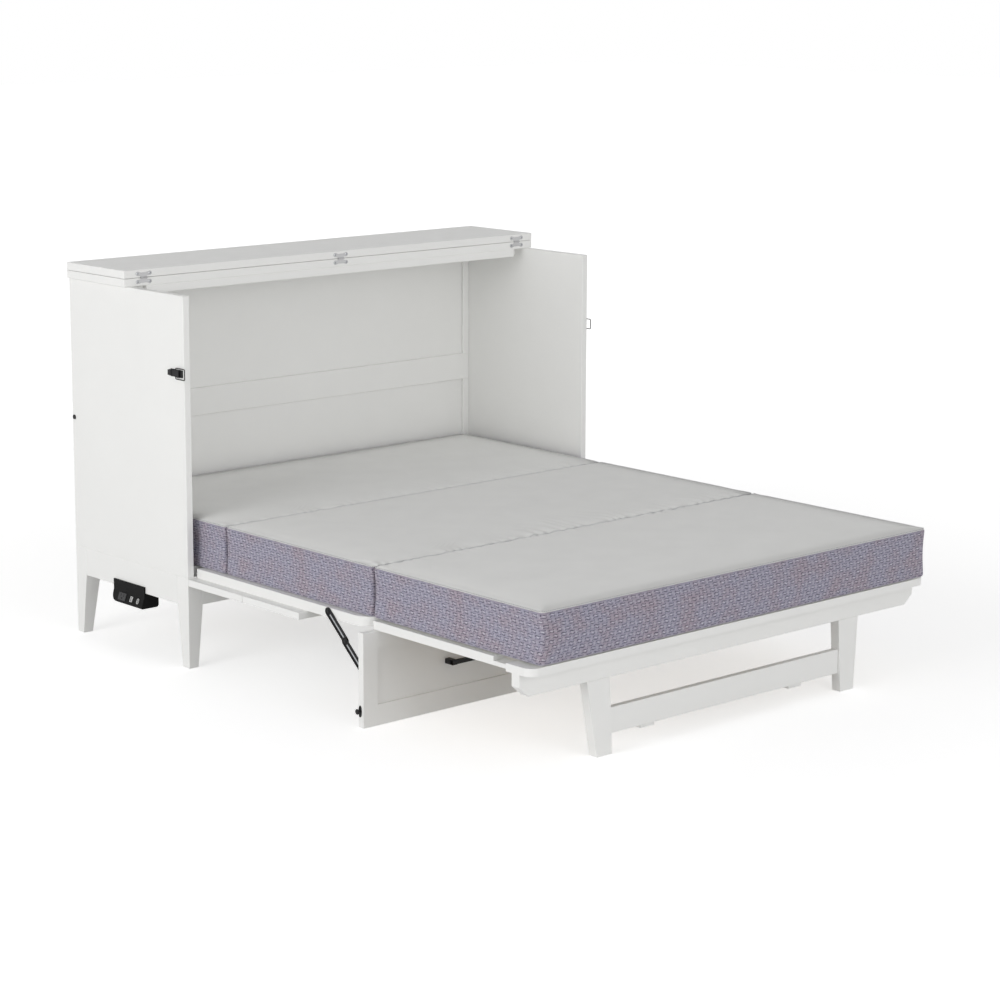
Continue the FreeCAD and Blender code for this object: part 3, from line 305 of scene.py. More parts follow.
# %% [markdown]
# Now each board and fitting of the frame takes its finish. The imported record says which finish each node
# has, so the link from finish to material is a short table.

# %% Give every frame node its finish
FINISHES = {
    "white_paint": white_paint, "bare_wood": pine_across, "black_metal": black_metal,
    "pale_metal": pale_metal, "steel": steel, "black_plastic": black_plastic,
    "port_plastic": port_plastic,
}


def dress(item, material):
    """Put one material on the whole of an object, on the object itself so its mesh isn't changed."""
    for holder in item.material_slots:
        holder.link = "OBJECT"
        holder.material = material
    if not item.material_slots:
        item.data.materials.append(material)


for row in frame["record"]["subparts"]:
    if row["material_slot"] in FINISHES:
        dress(frame["nodes"][row["node"]], FINISHES[row["material_slot"]])
dress(frame["nodes"]["floor_bearers"], pine_along)
print("the boards and fittings have", len(FINISHES), "finishes")

# %% [markdown]
# The small fittings come next. In the frame they are plain blocks of the right size, which is enough for
# a hinge to turn or a hook to catch, but not for the eye. Here each gets its pressed or turned shape, in
# the same place. Nearly all of them are plates, plates with a hole, and turned studs, so three helpers
# make them all. Writing the faces out one by one keeps each form closed.


# %% Helpers for small fittings
def add_plate(form, outline, push):
    """A closed plate: an outline of points, pushed along a vector."""
    low = [form.verts.new(point) for point in outline]
    high = [form.verts.new(Vector(point) + Vector(push)) for point in outline]
    form.faces.new(low)
    form.faces.new(list(reversed(high)))
    for n in range(len(low)):
        m = (n + 1) % len(low)
        form.faces.new((low[n], low[m], high[m], high[n]))


def add_ring(form, outer, inner, push):
    """A closed plate with a hole: two outlines with as many points each, pushed along a vector."""
    loops = []
    for outline in (outer, inner):
        loops.append([form.verts.new(point) for point in outline])
        loops.append([form.verts.new(Vector(point) + Vector(push)) for point in outline])
    outer_low, outer_high, inner_low, inner_high = loops
    for n in range(len(outer)):
        m = (n + 1) % len(outer)
        for first, second in ((outer_low, outer_high), (outer_high, inner_high),
                              (inner_high, inner_low), (inner_low, outer_low)):
            form.faces.new((first[n], first[m], second[m], second[n]))


def add_turned(form, profile, start, axis, sides):
    """A closed turned form: (distance along the axis, radius) at each step of its profile."""
    axis = Vector(axis).normalized()
    side = axis.orthogonal().normalized()
    other = axis.cross(side)
    turns = [2 * math.pi * n / sides for n in range(sides)]
    rings = [[form.verts.new(Vector(start) + axis * along
                             + (side * math.cos(turn) + other * math.sin(turn)) * radius)
              for turn in turns] for along, radius in profile]
    for first, second in zip(rings, rings[1:]):
        for n in range(sides):
            m = (n + 1) % sides
            form.faces.new((first[n], first[m], second[m], second[n]))
    form.faces.new(rings[0])
    form.faces.new(rings[-1])


def arc(centre, radius, start, end, steps=9):
    """Points along an arc in a plane, between two angles in degrees."""
    turns = np.radians(np.linspace(start, end, steps))
    return [(centre[0] + radius * math.cos(turn), centre[1] + radius * math.sin(turn)) for turn in turns]


def rectangle(left, right, low, high):
    """The four corners of a rectangle, in order round it."""
    return [(left, low), (right, low), (right, high), (left, high)]


def place_piece(piece, body, slot_name, *nodes):
    """Put a finished piece on its body, in place of the plain frame nodes it stands for."""
    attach(piece, body)
    if nodes:
        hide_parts(*nodes)
    print(piece.name, "has", len(piece.data.polygons), "faces")


def make_fitting(name, form, material):
    """A fitting's object, its faces pointed outwards and smoothed where they curve."""
    bmesh.ops.recalc_face_normals(form, faces=form.faces)
    mesh = bpy.data.meshes.new(name)
    form.to_mesh(mesh)
    form.free()
    mesh.materials.append(material)
    mesh.shade_smooth()
    mesh.set_sharp_from_angle(angle=math.radians(38))
    return new_object(name, mesh)


# %% [markdown]
# The flap turns on three small hinges, pressed from sheet: each leaf has two round lobes, one for each
# screw, and narrows to the knuckle between them, so that an open hinge looks like the letter H. A leaf's
# outline is drawn once and used six times, the right way up for the flap and upside down for the top.

# %% Flap hinges
HINGE_MIDDLES = (-0.750, 0.0, 0.750)
LEAF_FRONT, LEAF_BACK = 0.7213, 0.7220
LOWER_TOP, UPPER_LOW = 1.134667, 1.135667
LOBE, LOBE_RADIUS = (0.0222, 0.0118), 0.0066
PIN_Y, PIN_Z = 0.7190, 1.135417
KNUCKLE, KNUCKLE_END, KNUCKLE_EASE = 0.0022, 0.0016, 0.0006
LIP_INSET, LIP_START, LIP_THICK = 0.0004, 0.0003, 0.0011
left_lobe = arc((-LOBE[0], LOBE[1]), LOBE_RADIUS, -75, -285, 12)
half_leaf = [(-0.012, 0.0), (-0.012, 0.0040)] + left_lobe + [(-0.0095, 0.0150)]
leaf_outline = half_leaf + [(-x, reach) for x, reach in reversed(half_leaf)]

for name, body, node, base, turn, knuckles in (
        ("lid_hinge_lower", "cabinet", "lid_hinge_leaves_fixed", LOWER_TOP, -1,
         ((-0.0120, -0.0043), (0.0043, 0.0120))),
        ("lid_hinge_upper", "top_flap", "lid_hinge_leaves_moving", UPPER_LOW, 1, ((-0.0040, 0.0040),))):
    form = bmesh.new()
    for middle in HINGE_MIDDLES:
        leaf = [(middle + x, LEAF_FRONT, base + turn * reach) for x, reach in leaf_outline]
        add_plate(form, leaf, (0, LEAF_BACK - LEAF_FRONT, 0))
        for start, end in knuckles:
            length = end - start
            barrel = [(0, KNUCKLE_END), (KNUCKLE_EASE, KNUCKLE), (length - KNUCKLE_EASE, KNUCKLE),
                      (length, KNUCKLE_END)]
            add_turned(form, barrel, (middle + start, PIN_Y, PIN_Z), (1, 0, 0), 16)
            lip = rectangle(middle + start + LIP_INSET, middle + end - LIP_INSET, PIN_Y, LEAF_BACK)
            add_plate(form, [(x, y, base + turn * LIP_START) for x, y in lip], (0, 0, turn * LIP_THICK))
    place_piece(make_fitting(name, form, pale_metal), body, "pale_metal", node)

# %% [markdown]
# A keeper on each side of the support panel is what the wire bail hooks. It is an oval flange on the
# panel's edge with a turned stud: a neck for the wire, and a wider head that keeps the wire from slipping
# off.

# %% Keepers
KEEPER_FACE, KEEPER_Y, KEEPER_Z = 0.809, -0.3625, 0.046
FLANGE_THICK, FLANGE_HALF_WIDTH, FLANGE_HALF_HEIGHT = 0.002, 0.0063, 0.0165
STUD_Y = -0.359967
STUD = [(0, 0.0042), (0.0008, 0.0031), (0.0052, 0.0030), (0.0056, 0.0068), (0.0062, 0.0078),
        (0.0081, 0.0078), (0.0088, 0.0067), (0.0089, 0.0020)]
form = bmesh.new()
for side in (-1, 1):
    flange = [(side * KEEPER_FACE, KEEPER_Y + FLANGE_HALF_WIDTH * math.cos(turn),
               KEEPER_Z + FLANGE_HALF_HEIGHT * math.sin(turn))
              for turn in np.linspace(0, 2 * math.pi, 28, endpoint=False)]
    add_plate(form, flange, (side * FLANGE_THICK, 0, 0))
    add_turned(form, STUD, (side * (KEEPER_FACE + FLANGE_THICK), STUD_Y, KEEPER_Z), (side, 0, 0), 22)
place_piece(make_fitting("keepers", form, black_metal), "support_leg_panel", "black_metal", "keeper_studs")

# %% [markdown]
# Each folding stay is two links of pressed channel: a flat web with a raised rim, riveted at the ends,
# and a bright steel strip lying in the channel, which is a painted highlight standing for the light line
# along the channel. The rim and the web share one rounded outline, drawn at two widths, and the links
# stay on the pivots of the frame.

# %% Folding stays
STAY_TOP, STAY_ELBOW, STAY_LOW = (-0.1860, 0.2896), (-0.2648, 0.2198), (-0.3436, 0.1500)
RIM_OUTER, RIM_INNER = 0.0115, 0.0088
WEB_HALF, WEB_THICK = 0.0092, 0.0010
HIGHLIGHT_STRIP_HALF, HIGHLIGHT_STRIP_THICK, HIGHLIGHT_STRIP_GAP = 0.0021, 0.0008, 0.012
PIVOT = [(0, 0.0062), (0.0014, 0.0062), (0.0019, 0.0052), (0.0020, 0.0018)]


def link_outline(x, first, second, half_width):
    """A link's outline at one x: a round head at each end, in the plane of the bed's side."""
    heading = math.degrees(math.atan2(second[1] - first[1], second[0] - first[0]))
    flat = (arc(first, half_width, heading + 90, heading + 270)
            + arc(second, half_width, heading - 90, heading + 90))
    return [(x, y, z) for y, z in flat]


for name, first, second, near, far in (("stay_upper", STAY_TOP, STAY_ELBOW, 0.778, 0.781),
                                       ("stay_lower", STAY_ELBOW, STAY_LOW, 0.782, 0.785)):
    form, highlight_strips = bmesh.new(), bmesh.new()
    along = (Vector(second) - Vector(first)).normalized()
    start, stop = Vector(first) + along * HIGHLIGHT_STRIP_GAP, Vector(second) - along * HIGHLIGHT_STRIP_GAP
    across = Vector((-along.y, along.x)) * HIGHLIGHT_STRIP_HALF
    for side in (-1, 1):
        inner, web = side * near, side * (near + WEB_THICK)
        add_ring(form, link_outline(inner, first, second, RIM_OUTER),
                 link_outline(inner, first, second, RIM_INNER), (side * (far - near), 0, 0))
        add_plate(form, link_outline(inner, first, second, WEB_HALF), (side * WEB_THICK, 0, 0))
        for end in (first, second):
            add_turned(form, PIVOT, (web, *end), (side, 0, 0), 18)
        # the steel strip is a painted highlight: a bright line down the channel where the light line would
        # be
        strip = (start - across, stop - across, stop + across, start + across)
        add_plate(highlight_strips, [(web, *corner) for corner in strip], (side * HIGHLIGHT_STRIP_THICK, 0, 0))
    place_piece(make_fitting(name + "_channel", form, black_metal), name, "black_metal", name + "_links")
    place_piece(make_fitting(name + "_highlight_strip", highlight_strips, steel), name, "steel")

# %% [markdown]
# The power unit is a moulded body that hangs from the side apron. Its lower face leans out towards the
# bottom, so that a person who stands beside the bed can see it, and holds one outlet and two charging
# ports. The body is one profile pushed along the bed. Its lower corner at the cabinet's back is rounded
# afterwards: the body is cut across near that end, and its underside lifted along a quarter circle. Then
# a small bevel eases the sharp edges, as a mould does. The outlet is a plate with real openings: a grid
# of cells with three of them left out, through which the dark body shows. The ports are pale mouths, one
# oblong and one round-ended, each with a tongue inside.

# %% Power unit
UNIT_NEAR, UNIT_FAR, UNIT_BACK = 0.661, 0.824, -0.762
UNIT_LOW, UNIT_TOP, UNIT_ROUND, UNIT_CORNER = 0.141, 0.188, 0.008, 0.032
UNIT_EASE, SHARP_TURN = 0.0012, 0.7
PLATE_FRONT, PLATE_BACK, PLATE_TOP = -0.814, -0.809, 0.208
SLOPE_TOP = Vector((PLATE_FRONT, 0, 0.1760))
SLOPE_END = Vector((-0.8255, 0, 0.1460))
SLOPE_LEAN = (SLOPE_TOP.x - SLOPE_END.x) / (SLOPE_TOP.z - SLOPE_END.z)
profile = [(PLATE_FRONT, PLATE_TOP), (PLATE_BACK, PLATE_TOP), (PLATE_BACK, UNIT_TOP),
           (UNIT_BACK, UNIT_TOP), (UNIT_BACK, UNIT_LOW + UNIT_ROUND)]
profile += arc((UNIT_BACK - UNIT_ROUND, UNIT_LOW + UNIT_ROUND), UNIT_ROUND, 0, -90, 5)
profile += [(-0.8215, UNIT_LOW), (-0.8245, 0.1425)]
profile += [(SLOPE_END.x, SLOPE_END.z), (SLOPE_TOP.x, SLOPE_TOP.z)]
form = bmesh.new()
add_plate(form, [(x, UNIT_NEAR, z) for x, z in profile], (0, UNIT_FAR - UNIT_NEAR, 0))
for share in (0.0, 0.35, 0.6, 0.8, 0.92):
    bmesh.ops.bisect_plane(form, geom=form.verts[:] + form.edges[:] + form.faces[:], plane_no=(0, 1, 0),
                           plane_co=(0, UNIT_FAR - UNIT_CORNER * (1 - share), 0))
for corner in form.verts:
    beyond = max(0.0, min(corner.co.y - (UNIT_FAR - UNIT_CORNER), UNIT_CORNER))
    lift = UNIT_CORNER - math.sqrt(UNIT_CORNER ** 2 - beyond ** 2)
    corner.co.z = max(corner.co.z, UNIT_LOW + lift)
    corner.co.x = max(corner.co.x, SLOPE_TOP.x - max(0.0, SLOPE_TOP.z - corner.co.z) * SLOPE_LEAN)
sharp = [edge for edge in form.edges if edge.calc_face_angle(0.0) > SHARP_TURN]
bmesh.ops.bevel(form, geom=sharp, offset=UNIT_EASE, segments=2, profile=0.6, affect="EDGES",
                clamp_overlap=True)
place_piece(make_fitting("power_housing", form, black_plastic), "cabinet", "black_plastic", "power_unit")

# %% Outlet and ports
SLOPE_DOWN = (SLOPE_END - SLOPE_TOP).normalized()
SLOPE_OUT = Vector((SLOPE_DOWN.z, 0, -SLOPE_DOWN.x))
SLOPE_MIDDLE = (SLOPE_END - SLOPE_TOP).length / 2
OUTLET_Y, OUTLET_DEPTH = 0.770, 0.0014
OBLONG_PORT_Y, OBLONG_TONGUE_Y, ROUND_PORT_Y = 0.7220, 0.7210, 0.6880
PORT_DEPTH, TONGUE_DEPTH = 0.0012, 0.0008


def on_slope(y, down, out=0.0):
    """A point on the power unit's sloping face: along the bed, down the slope and out from it."""
    return SLOPE_TOP + Vector((0, y, 0)) + SLOPE_DOWN * (SLOPE_MIDDLE + down) + SLOPE_OUT * out


def add_pierced(form, columns, rows, holes, spot, depth):
    """A closed plate with oblong holes: a grid of cells, with the holes' cells left out."""
    solid = {(c, r) for c in range(len(columns) - 1) for r in range(len(rows) - 1)} - set(holes)
    square = rectangle(0, 1, 0, 1)
    corners = {}

    def corner(c, r, level):
        if (c, r, level) not in corners:
            corners[c, r, level] = form.verts.new(spot(columns[c], rows[r], depth * level))
        return corners[c, r, level]

    for c, r in solid:
        for level in (0, 1):
            form.faces.new([corner(c + i, r + j, level) for i, j in square])
        for n, (across, down) in enumerate(((0, -1), (1, 0), (0, 1), (-1, 0))):
            if (c + across, r + down) not in solid:
                (i, j), (k, m) = square[n], square[(n + 1) % 4]
                form.faces.new((corner(c + i, r + j, 0), corner(c + k, r + m, 0),
                                corner(c + k, r + m, 1), corner(c + i, r + j, 1)))


def oblong(y, half_wide, half_tall):
    """An oblong outline on the slope."""
    return [on_slope(*spot) for spot in rectangle(y - half_wide, y + half_wide, -half_tall, half_tall)]


def round_ended(y, half_wide, reach=0.0036):
    """A round-ended outline on the slope."""
    ends = arc((y, -reach), half_wide, 180, 360) + arc((y, reach), half_wide, 0, 180)
    return [on_slope(*spot) for spot in ends]


form = bmesh.new()
outlet_columns = [OUTLET_Y + n / 1000 for n in (-19, -8.2, -5.8, -2.4, 2.4, 5.8, 8.2, 19)]
outlet_rows = [n / 1000 for n in (-11.5, -8.0, -0.4, 2.6, 7.2, 11.5)]
add_pierced(form, outlet_columns, outlet_rows, ((1, 1), (5, 1), (3, 3)), on_slope, OUTLET_DEPTH)
place_piece(make_fitting("power_outlet", form, outlet_plastic), "cabinet", "black_plastic",
            "power_outlets")

form = bmesh.new()
add_ring(form, oblong(OBLONG_PORT_Y, 0.0058, 0.0082), oblong(OBLONG_PORT_Y, 0.0038, 0.0062),
         SLOPE_OUT * PORT_DEPTH)
add_ring(form, round_ended(ROUND_PORT_Y, 0.0050), round_ended(ROUND_PORT_Y, 0.0032),
         SLOPE_OUT * PORT_DEPTH)
add_plate(form, oblong(OBLONG_TONGUE_Y, 0.0010, 0.0052), SLOPE_OUT * TONGUE_DEPTH)
add_plate(form, oblong(ROUND_PORT_Y, 0.0006, 0.0034), SLOPE_OUT * TONGUE_DEPTH)
place_piece(make_fitting("charging_ports", form, port_plastic), "cabinet", "port_plastic")

# %% [markdown]
# Each front board has two bar pulls: a square bar on two short posts, which stand in the board's recess.
# The three boards lie in two directions when the bed is open, so a pull is drawn once, by its distance
# along the board and its height off it, and each board says which ways those are.

# %% Bar pulls
PULL_X, PULL_HALF, PULL_HEIGHT = 0.406, 0.104, 0.034
BAR_HALF, BAR_DEPTH = 0.0058, 0.0105
POST_HALF, POST_WIDTH, POST_HEIGHT = 0.0070, 0.017, 0.0332
PANEL_RECESS, PANEL_PULL_Z = -0.3707, 0.138
BOARD_RECESS, BOARD_PULL_ROWS = 0.257, (0.30695, 0.04090)


def add_pull(form, middle, across, off):
    """A bar on two posts, by its middle in the recess and the ways across it and off the board."""
    for near, far, half, low, high in (
            (-PULL_HALF, PULL_HALF, BAR_HALF, PULL_HEIGHT - BAR_DEPTH, PULL_HEIGHT),
            (-PULL_HALF, POST_WIDTH - PULL_HALF, POST_HALF, 0.0, POST_HEIGHT),
            (PULL_HALF - POST_WIDTH, PULL_HALF, POST_HALF, 0.0, POST_HEIGHT)):
        end = Vector(middle) + Vector((near, 0, 0))
        outline = [end + Vector(across) * a + Vector(off) * b
                   for a, b in rectangle(-half, half, low, high)]
        add_plate(form, outline, (far - near, 0, 0))


panel_form, board_form = bmesh.new(), bmesh.new()
for side in (-1, 1):
    add_pull(panel_form, (side * PULL_X, PANEL_RECESS, PANEL_PULL_Z), (0, 0, 1), (0, -1, 0))
    for row_y in BOARD_PULL_ROWS:
        add_pull(board_form, (side * PULL_X, row_y, BOARD_RECESS), (0, 1, 0), (0, 0, -1))
place_piece(make_fitting("support_panel_pulls", panel_form, black_metal), "support_leg_panel",
            "black_metal", "support_pulls")
place_piece(make_fitting("front_board_pulls", board_form, black_metal), "middle_platform",
            "black_metal", "face_pulls")

# %% [markdown]
# Two small blocks stand behind the trestle's stretcher and show below its lower edge. They are replaced
# with blocks that reach a little lower, as in the photograph.

# %% Trestle blocks
BLOCK_X, BLOCK_Z = (0.269, 0.322), (0.037, 0.093)
BLOCK_FACE, BLOCK_THICK = -0.9561, 0.018
form = bmesh.new()
for side in (-1, 1):
    add_plate(form, [(side * x, BLOCK_FACE, z) for x, z in rectangle(*BLOCK_X, *BLOCK_Z)],
              (0, BLOCK_THICK, 0))
place_piece(make_fitting("stretcher_blocks", form, white_paint), "trestle", "white_paint", "trestle_blocks")

# %% [markdown]
# Screws repeat, so Geometry Nodes make them. A mesh of bare points says where each screw is, with two
# attributes: which way it faces, and how big it is. The tree puts one head on every point, with a thin
# dark cross raised on its top, which is painted shade that stands for the shade in a cross recess; it turns
# the head to face outwards, and makes real mesh of the result. A head is drawn one unit in radius, so that
# its size attribute scales the whole of it.

# %% The screw tree
HEAD_SIDES, HEAD_TOP = 14, 0.72
RECESS_LENGTH, RECESS_RISE = 1.05, 0.06


def new_shape_tree(name, inputs):
    """A Geometry Nodes tree with named inputs: (name, kind, default)."""
    return new_group(name, [("Geometry", "Geometry", None)] + inputs, [("Geometry", "Geometry")],
                     "GeometryNodeTree")


def named_value(tree, label, kind):
    """The value of an attribute, at each point."""
    node = add_node(tree, "GeometryNodeInputNamedAttribute", data_type=kind)
    return feed_all(tree, node, Name=label).outputs["Attribute"]


def shape_step(tree, kind, geometry, **values):
    """A node that takes a geometry, with its other inputs set; gives its result."""
    node = add_node(tree, kind)
    feed(tree, node.inputs[0], geometry)
    return feed_all(tree, node, **values).outputs[0]


def lay_on_points(tree, points, item, axis, way, **values):
    """Put an item on every point, its axis turned a given way, and make real mesh of them all."""
    turn = feed_all(tree, add_node(tree, "FunctionNodeAlignRotationToVector", axis=axis), Vector=way)
    laid = shape_step(tree, "GeometryNodeInstanceOnPoints", points, Instance=item,
                      Rotation=turn.outputs[0], **values)
    return shape_step(tree, "GeometryNodeRealizeInstances", laid)


screw_tree, group_in, group_out = new_shape_tree(
    "screw_heads", [("Head height", "Float", 0.4), ("Recess width", "Float", 0.24),
                    ("Head finish", "Material", None), ("Recess painted shade", "Material", None)])
screw_in = group_in.outputs
head = add_node(screw_tree, "GeometryNodeJoinGeometry")
cone = feed_all(screw_tree, add_node(screw_tree, "GeometryNodeMeshCone"), Vertices=HEAD_SIDES,
                Radius_Top=HEAD_TOP, Radius_Bottom=1.0, Depth=screw_in["Head height"])
feed(screw_tree, head.inputs[0], cone.outputs["Mesh"])
# the cross is two raised slits in the painted recess shade, standing for the shade of a recessed cross
for wide, tall in ((RECESS_LENGTH, screw_in["Recess width"]), (screw_in["Recess width"], RECESS_LENGTH)):
    slit = feed_all(screw_tree, add_node(screw_tree, "GeometryNodeMeshCube"),
                    Size=join(screw_tree, wide, tall, RECESS_RISE))
    raised = shape_step(screw_tree, "GeometryNodeTransform", slit.outputs["Mesh"],
                        Translation=join(screw_tree, 0, 0, screw_in["Head height"]))
    feed(screw_tree, head.inputs[0],
         shape_step(screw_tree, "GeometryNodeStoreNamedAttribute", raised, Name="recess", Value=1.0))
real = lay_on_points(screw_tree, screw_in["Geometry"], head.outputs[0], "Z",
                     named_value(screw_tree, "facing", "FLOAT_VECTOR"),
                     Scale=named_value(screw_tree, "size", "FLOAT"))
plain = shape_step(screw_tree, "GeometryNodeSetMaterial", real, Material=screw_in["Head finish"])
last = shape_step(screw_tree, "GeometryNodeSetMaterial", plain, Material=screw_in["Recess painted shade"],
                  Selection=named_value(screw_tree, "recess", "FLOAT"))
feed(screw_tree, group_out.inputs[0], last)
print("screw tree has", len(screw_tree.nodes), "nodes")


def grown_mesh(name, points, edges, attributes, shape_tree, settings):
    """Run a tree on bare points or lines, and give the result as a plain object."""
    seedling = bpy.data.meshes.new(name + "_places")
    seedling.from_pydata(points, edges, [])
    for label, kind, key, values in attributes:
        seedling.attributes.new(label, kind, "POINT").data.foreach_set(key, np.ravel(values))
    carrier = new_object(name + "_places", seedling)
    modifier = carrier.modifiers.new("grow", "NODES")
    modifier.node_group = shape_tree
    sockets = {item.name: item.identifier for item in shape_tree.interface.items_tree
               if item.in_out == "INPUT"}
    for label, value in settings.items():
        modifier[sockets[label]] = value
    grown = carrier.evaluated_get(bpy.context.evaluated_depsgraph_get())
    mesh = bpy.data.meshes.new_from_object(grown)
    bpy.data.objects.remove(carrier)
    mesh.name = name
    return new_object(name, mesh)


# %% Screws, by the body they are driven into
WOOD_SCREW, SMALL_SCREW, TRESTLE_SCREW = 0.0042, 0.0022, 0.0034
BACK_X, BACK_FACE, BACK_LOW, BACK_HIGH = 0.776, 1.037, 0.33, 1.06
TRESTLE_LEAF_FACE, TRESTLE_LEAF_Z = -0.9422, 0.2445


def flap_hinge_screws(z):
    """Two screws in every leaf of the flap's hinges, at one height."""
    return [((middle + side * LOBE[0], LEAF_FRONT, z), (0, -1, 0), WOOD_SCREW)
            for middle in HINGE_MIDDLES for side in (-1, 1)]


keeper_screws = [((side * (KEEPER_FACE + FLANGE_THICK), KEEPER_Y, KEEPER_Z + rise), (side, 0, 0),
                  SMALL_SCREW) for side in (-1, 1) for rise in (-0.0118, 0.0118)]
back_screws = [((side * BACK_X, BACK_FACE, z), (0, 1, 0), WOOD_SCREW)
               for side in (-1, 1) for z in np.linspace(BACK_LOW, BACK_HIGH, 6)]
trestle_screws = [((middle + step, TRESTLE_LEAF_FACE, TRESTLE_LEAF_Z), (0, 1, 0), TRESTLE_SCREW)
                  for middle in (-0.520, 0.0, 0.520) for step in (-0.022, 0.0, 0.022)]

for name, body, rows, finish, slot_name in (
        ("flap_hinge_screws_lower", "cabinet", flap_hinge_screws(LOWER_TOP - LOBE[1]), steel, "steel"),
        ("flap_hinge_screws_upper", "top_flap", flap_hinge_screws(UPPER_LOW + LOBE[1]), steel, "steel"),
        ("keeper_screws", "support_leg_panel", keeper_screws, black_metal, "black_metal"),
        ("back_panel_screws", "cabinet", back_screws, steel, "steel"),
        ("trestle_hinge_screws", "trestle", trestle_screws, steel, "steel")):
    spots, ways, sizes = zip(*rows)
    screws = grown_mesh(name, spots, [],
                        [("facing", "FLOAT_VECTOR", "vector", ways), ("size", "FLOAT", "value", sizes)],
                        screw_tree, {"Head finish": finish, "Recess painted shade": painted_recess_shade})
    place_piece(screws, body, slot_name)

# %% [markdown]
# The mattress cover is two fabrics. The top is a plain white stretch knit. The side band is a lavender
# knit with a small woven-in figure: dark hooked keys round light dashes, in staggered rows about as tall
# as a fingernail. The figure is drawn with arithmetic on the band's own coordinates, in metres: u runs
# round the mattress and v runs up it. The coordinates are cut into cells, and each cell draws one key
# from a few straight strokes, which the knit's unevenness then bends and fades.
#
# Both fabrics show fine rows of knitted loops, so the loops are a node group that both materials use.
# Its Shade output is painted shade: it darkens the colour in the valleys between the loops.

# %% The knitted-loops group
LOOP_LEAN = 0.45

knit_loops, group_in, group_out = new_group(
    "knit_loops",
    [("Place", "Vector", None), ("Loops per metre", "Float", 500.0)],
    [("Height", "Float"), ("Shade", "Float")])


def humps(turns):
    """A row of round humps, one for each whole turn, with narrow valleys."""
    wave = calc(knit_loops, "SINE", calc(knit_loops, "MULTIPLY", turns, math.pi))
    return calc(knit_loops, "ABSOLUTE", wave)


parts = split(knit_loops, group_in.outputs["Place"])
across, along = [calc(knit_loops, "MULTIPLY", parts[axis], group_in.outputs["Loops per metre"])
                 for axis in ("X", "Y")]
wale = humps(across)
course = humps(calc(knit_loops, "ADD", along, calc(knit_loops, "MULTIPLY", wale, LOOP_LEAN)))
loops = calc(knit_loops, "MULTIPLY", calc(knit_loops, "POWER", wale, 0.6),
             calc(knit_loops, "POWER", course, 0.6))
# Shade is painted shade, darker in the valleys between the loops, multiplied into each knit's colour
feed_all(knit_loops, group_out, Height=loops, Shade=spread(knit_loops, loops, 0.0, 0.8, 0.82, 1.0))
print("knit_loops group has", len(knit_loops.nodes), "nodes")


# %% White top knit
def cloth_place(tree):
    """The mattress's own coordinates, in metres, from its UV map."""
    return add_node(tree, "ShaderNodeUVMap", uv_map="cloth").outputs["UV"]


PILLOW_REACH, PILLOW_DEPTH = 0.028, 0.056
PUCKER_DEPTH = 0.0004

top_knit, tree, shader = new_material("top_knit", Sheen_Weight=0.25, Sheen_Roughness=0.5,
                                      Specular_IOR_Level=0.25)
place = cloth_place(tree)
knit = use_group(tree, knit_loops, Place=place, Loops_per_metre=420.0)
lie = noise_on(tree, place, 9.0, detail=3.0, roughness=0.6)
white = blend_colours(tree, spread(tree, lie, 0.3, 0.7), srgb(254, 254, 252), srgb(250, 250, 248))
pucker = noise_on(tree, place, 55.0, detail=3.0, roughness=0.6)
fine = calc(tree, "ADD", calc(tree, "MULTIPLY", knit["Height"], 0.35), pucker)
from_edge = add_node(tree, "ShaderNodeAttribute", attribute_name="from_edge").outputs["Fac"]
fall = calc(tree, "EXPONENT", calc(tree, "DIVIDE", from_edge, -PILLOW_REACH))
surface = calc(tree, "SUBTRACT", calc(tree, "MULTIPLY", fine, PUCKER_DEPTH),
               calc(tree, "MULTIPLY", fall, PILLOW_DEPTH))
feed_all(tree, shader, Base_Color=blend_colours(tree, 1.0, white, knit["Shade"], "MULTIPLY"),
         Roughness=spread(tree, lie, 0.3, 0.7, 0.82, 0.92), Normal=bump(tree, surface, 1.0, 1.0))
print("top_knit has", len(tree.nodes), "nodes")

# %% Patterned side knit
KEY_WIDTH, KEY_HEIGHT = 0.029, 0.0142
ROW_STAGGER, ROW_WOBBLE, KEY_TILT = 0.5, 0.5, 0.05

band_knit, tree, shader = new_material("band_knit", Sheen_Weight=0.15, Sheen_Roughness=0.5,
                                       Specular_IOR_Level=0.25)
place = cloth_place(tree)
parts = split(tree, place)
wobble = noise_on(tree, place, 36.0, noise_dimensions="2D")
row_place = calc(tree, "ADD", calc(tree, "DIVIDE", parts["Y"], KEY_HEIGHT),
                 calc(tree, "MULTIPLY", wobble, ROW_WOBBLE))
stagger = calc(tree, "MULTIPLY", calc(tree, "FLOOR", row_place), ROW_STAGGER)
step = calc(tree, "ADD", calc(tree, "DIVIDE", parts["X"], KEY_WIDTH), stagger)
cell_x = calc(tree, "SUBTRACT", calc(tree, "FRACT", step), 0.5)
tilt = calc(tree, "MULTIPLY", calc(tree, "SINE", calc(tree, "MULTIPLY", cell_x, 2 * math.pi)), KEY_TILT)
cell_y = calc(tree, "ADD", calc(tree, "SUBTRACT", calc(tree, "FRACT", row_place), 0.5), tilt)
# a key looks the same when it is turned half round, so only its upper half is drawn
key_x = calc(tree, "MULTIPLY", cell_x, calc(tree, "SIGN", cell_y))
key_y = calc(tree, "ABSOLUTE", cell_y)


def stroke(x, y, middle, half):
    """A straight stroke with soft edges, in the cell's own coordinates."""
    reaches = [calc(tree, "DIVIDE", calc(tree, "ABSOLUTE", calc(tree, "SUBTRACT", along, centre)), reach)
               for along, centre, reach in zip((x, y), middle, half)]
    return spread(tree, calc(tree, "MAXIMUM", *reaches), 1.3, 0.75)


def patchy(value, scale, low, high, least):
    """A value that fades here and there, as the yarn sinks into the knit."""
    fading = spread(tree, noise_on(tree, place, scale), low, high, least, 1.0)
    return calc(tree, "MULTIPLY", value, fading)


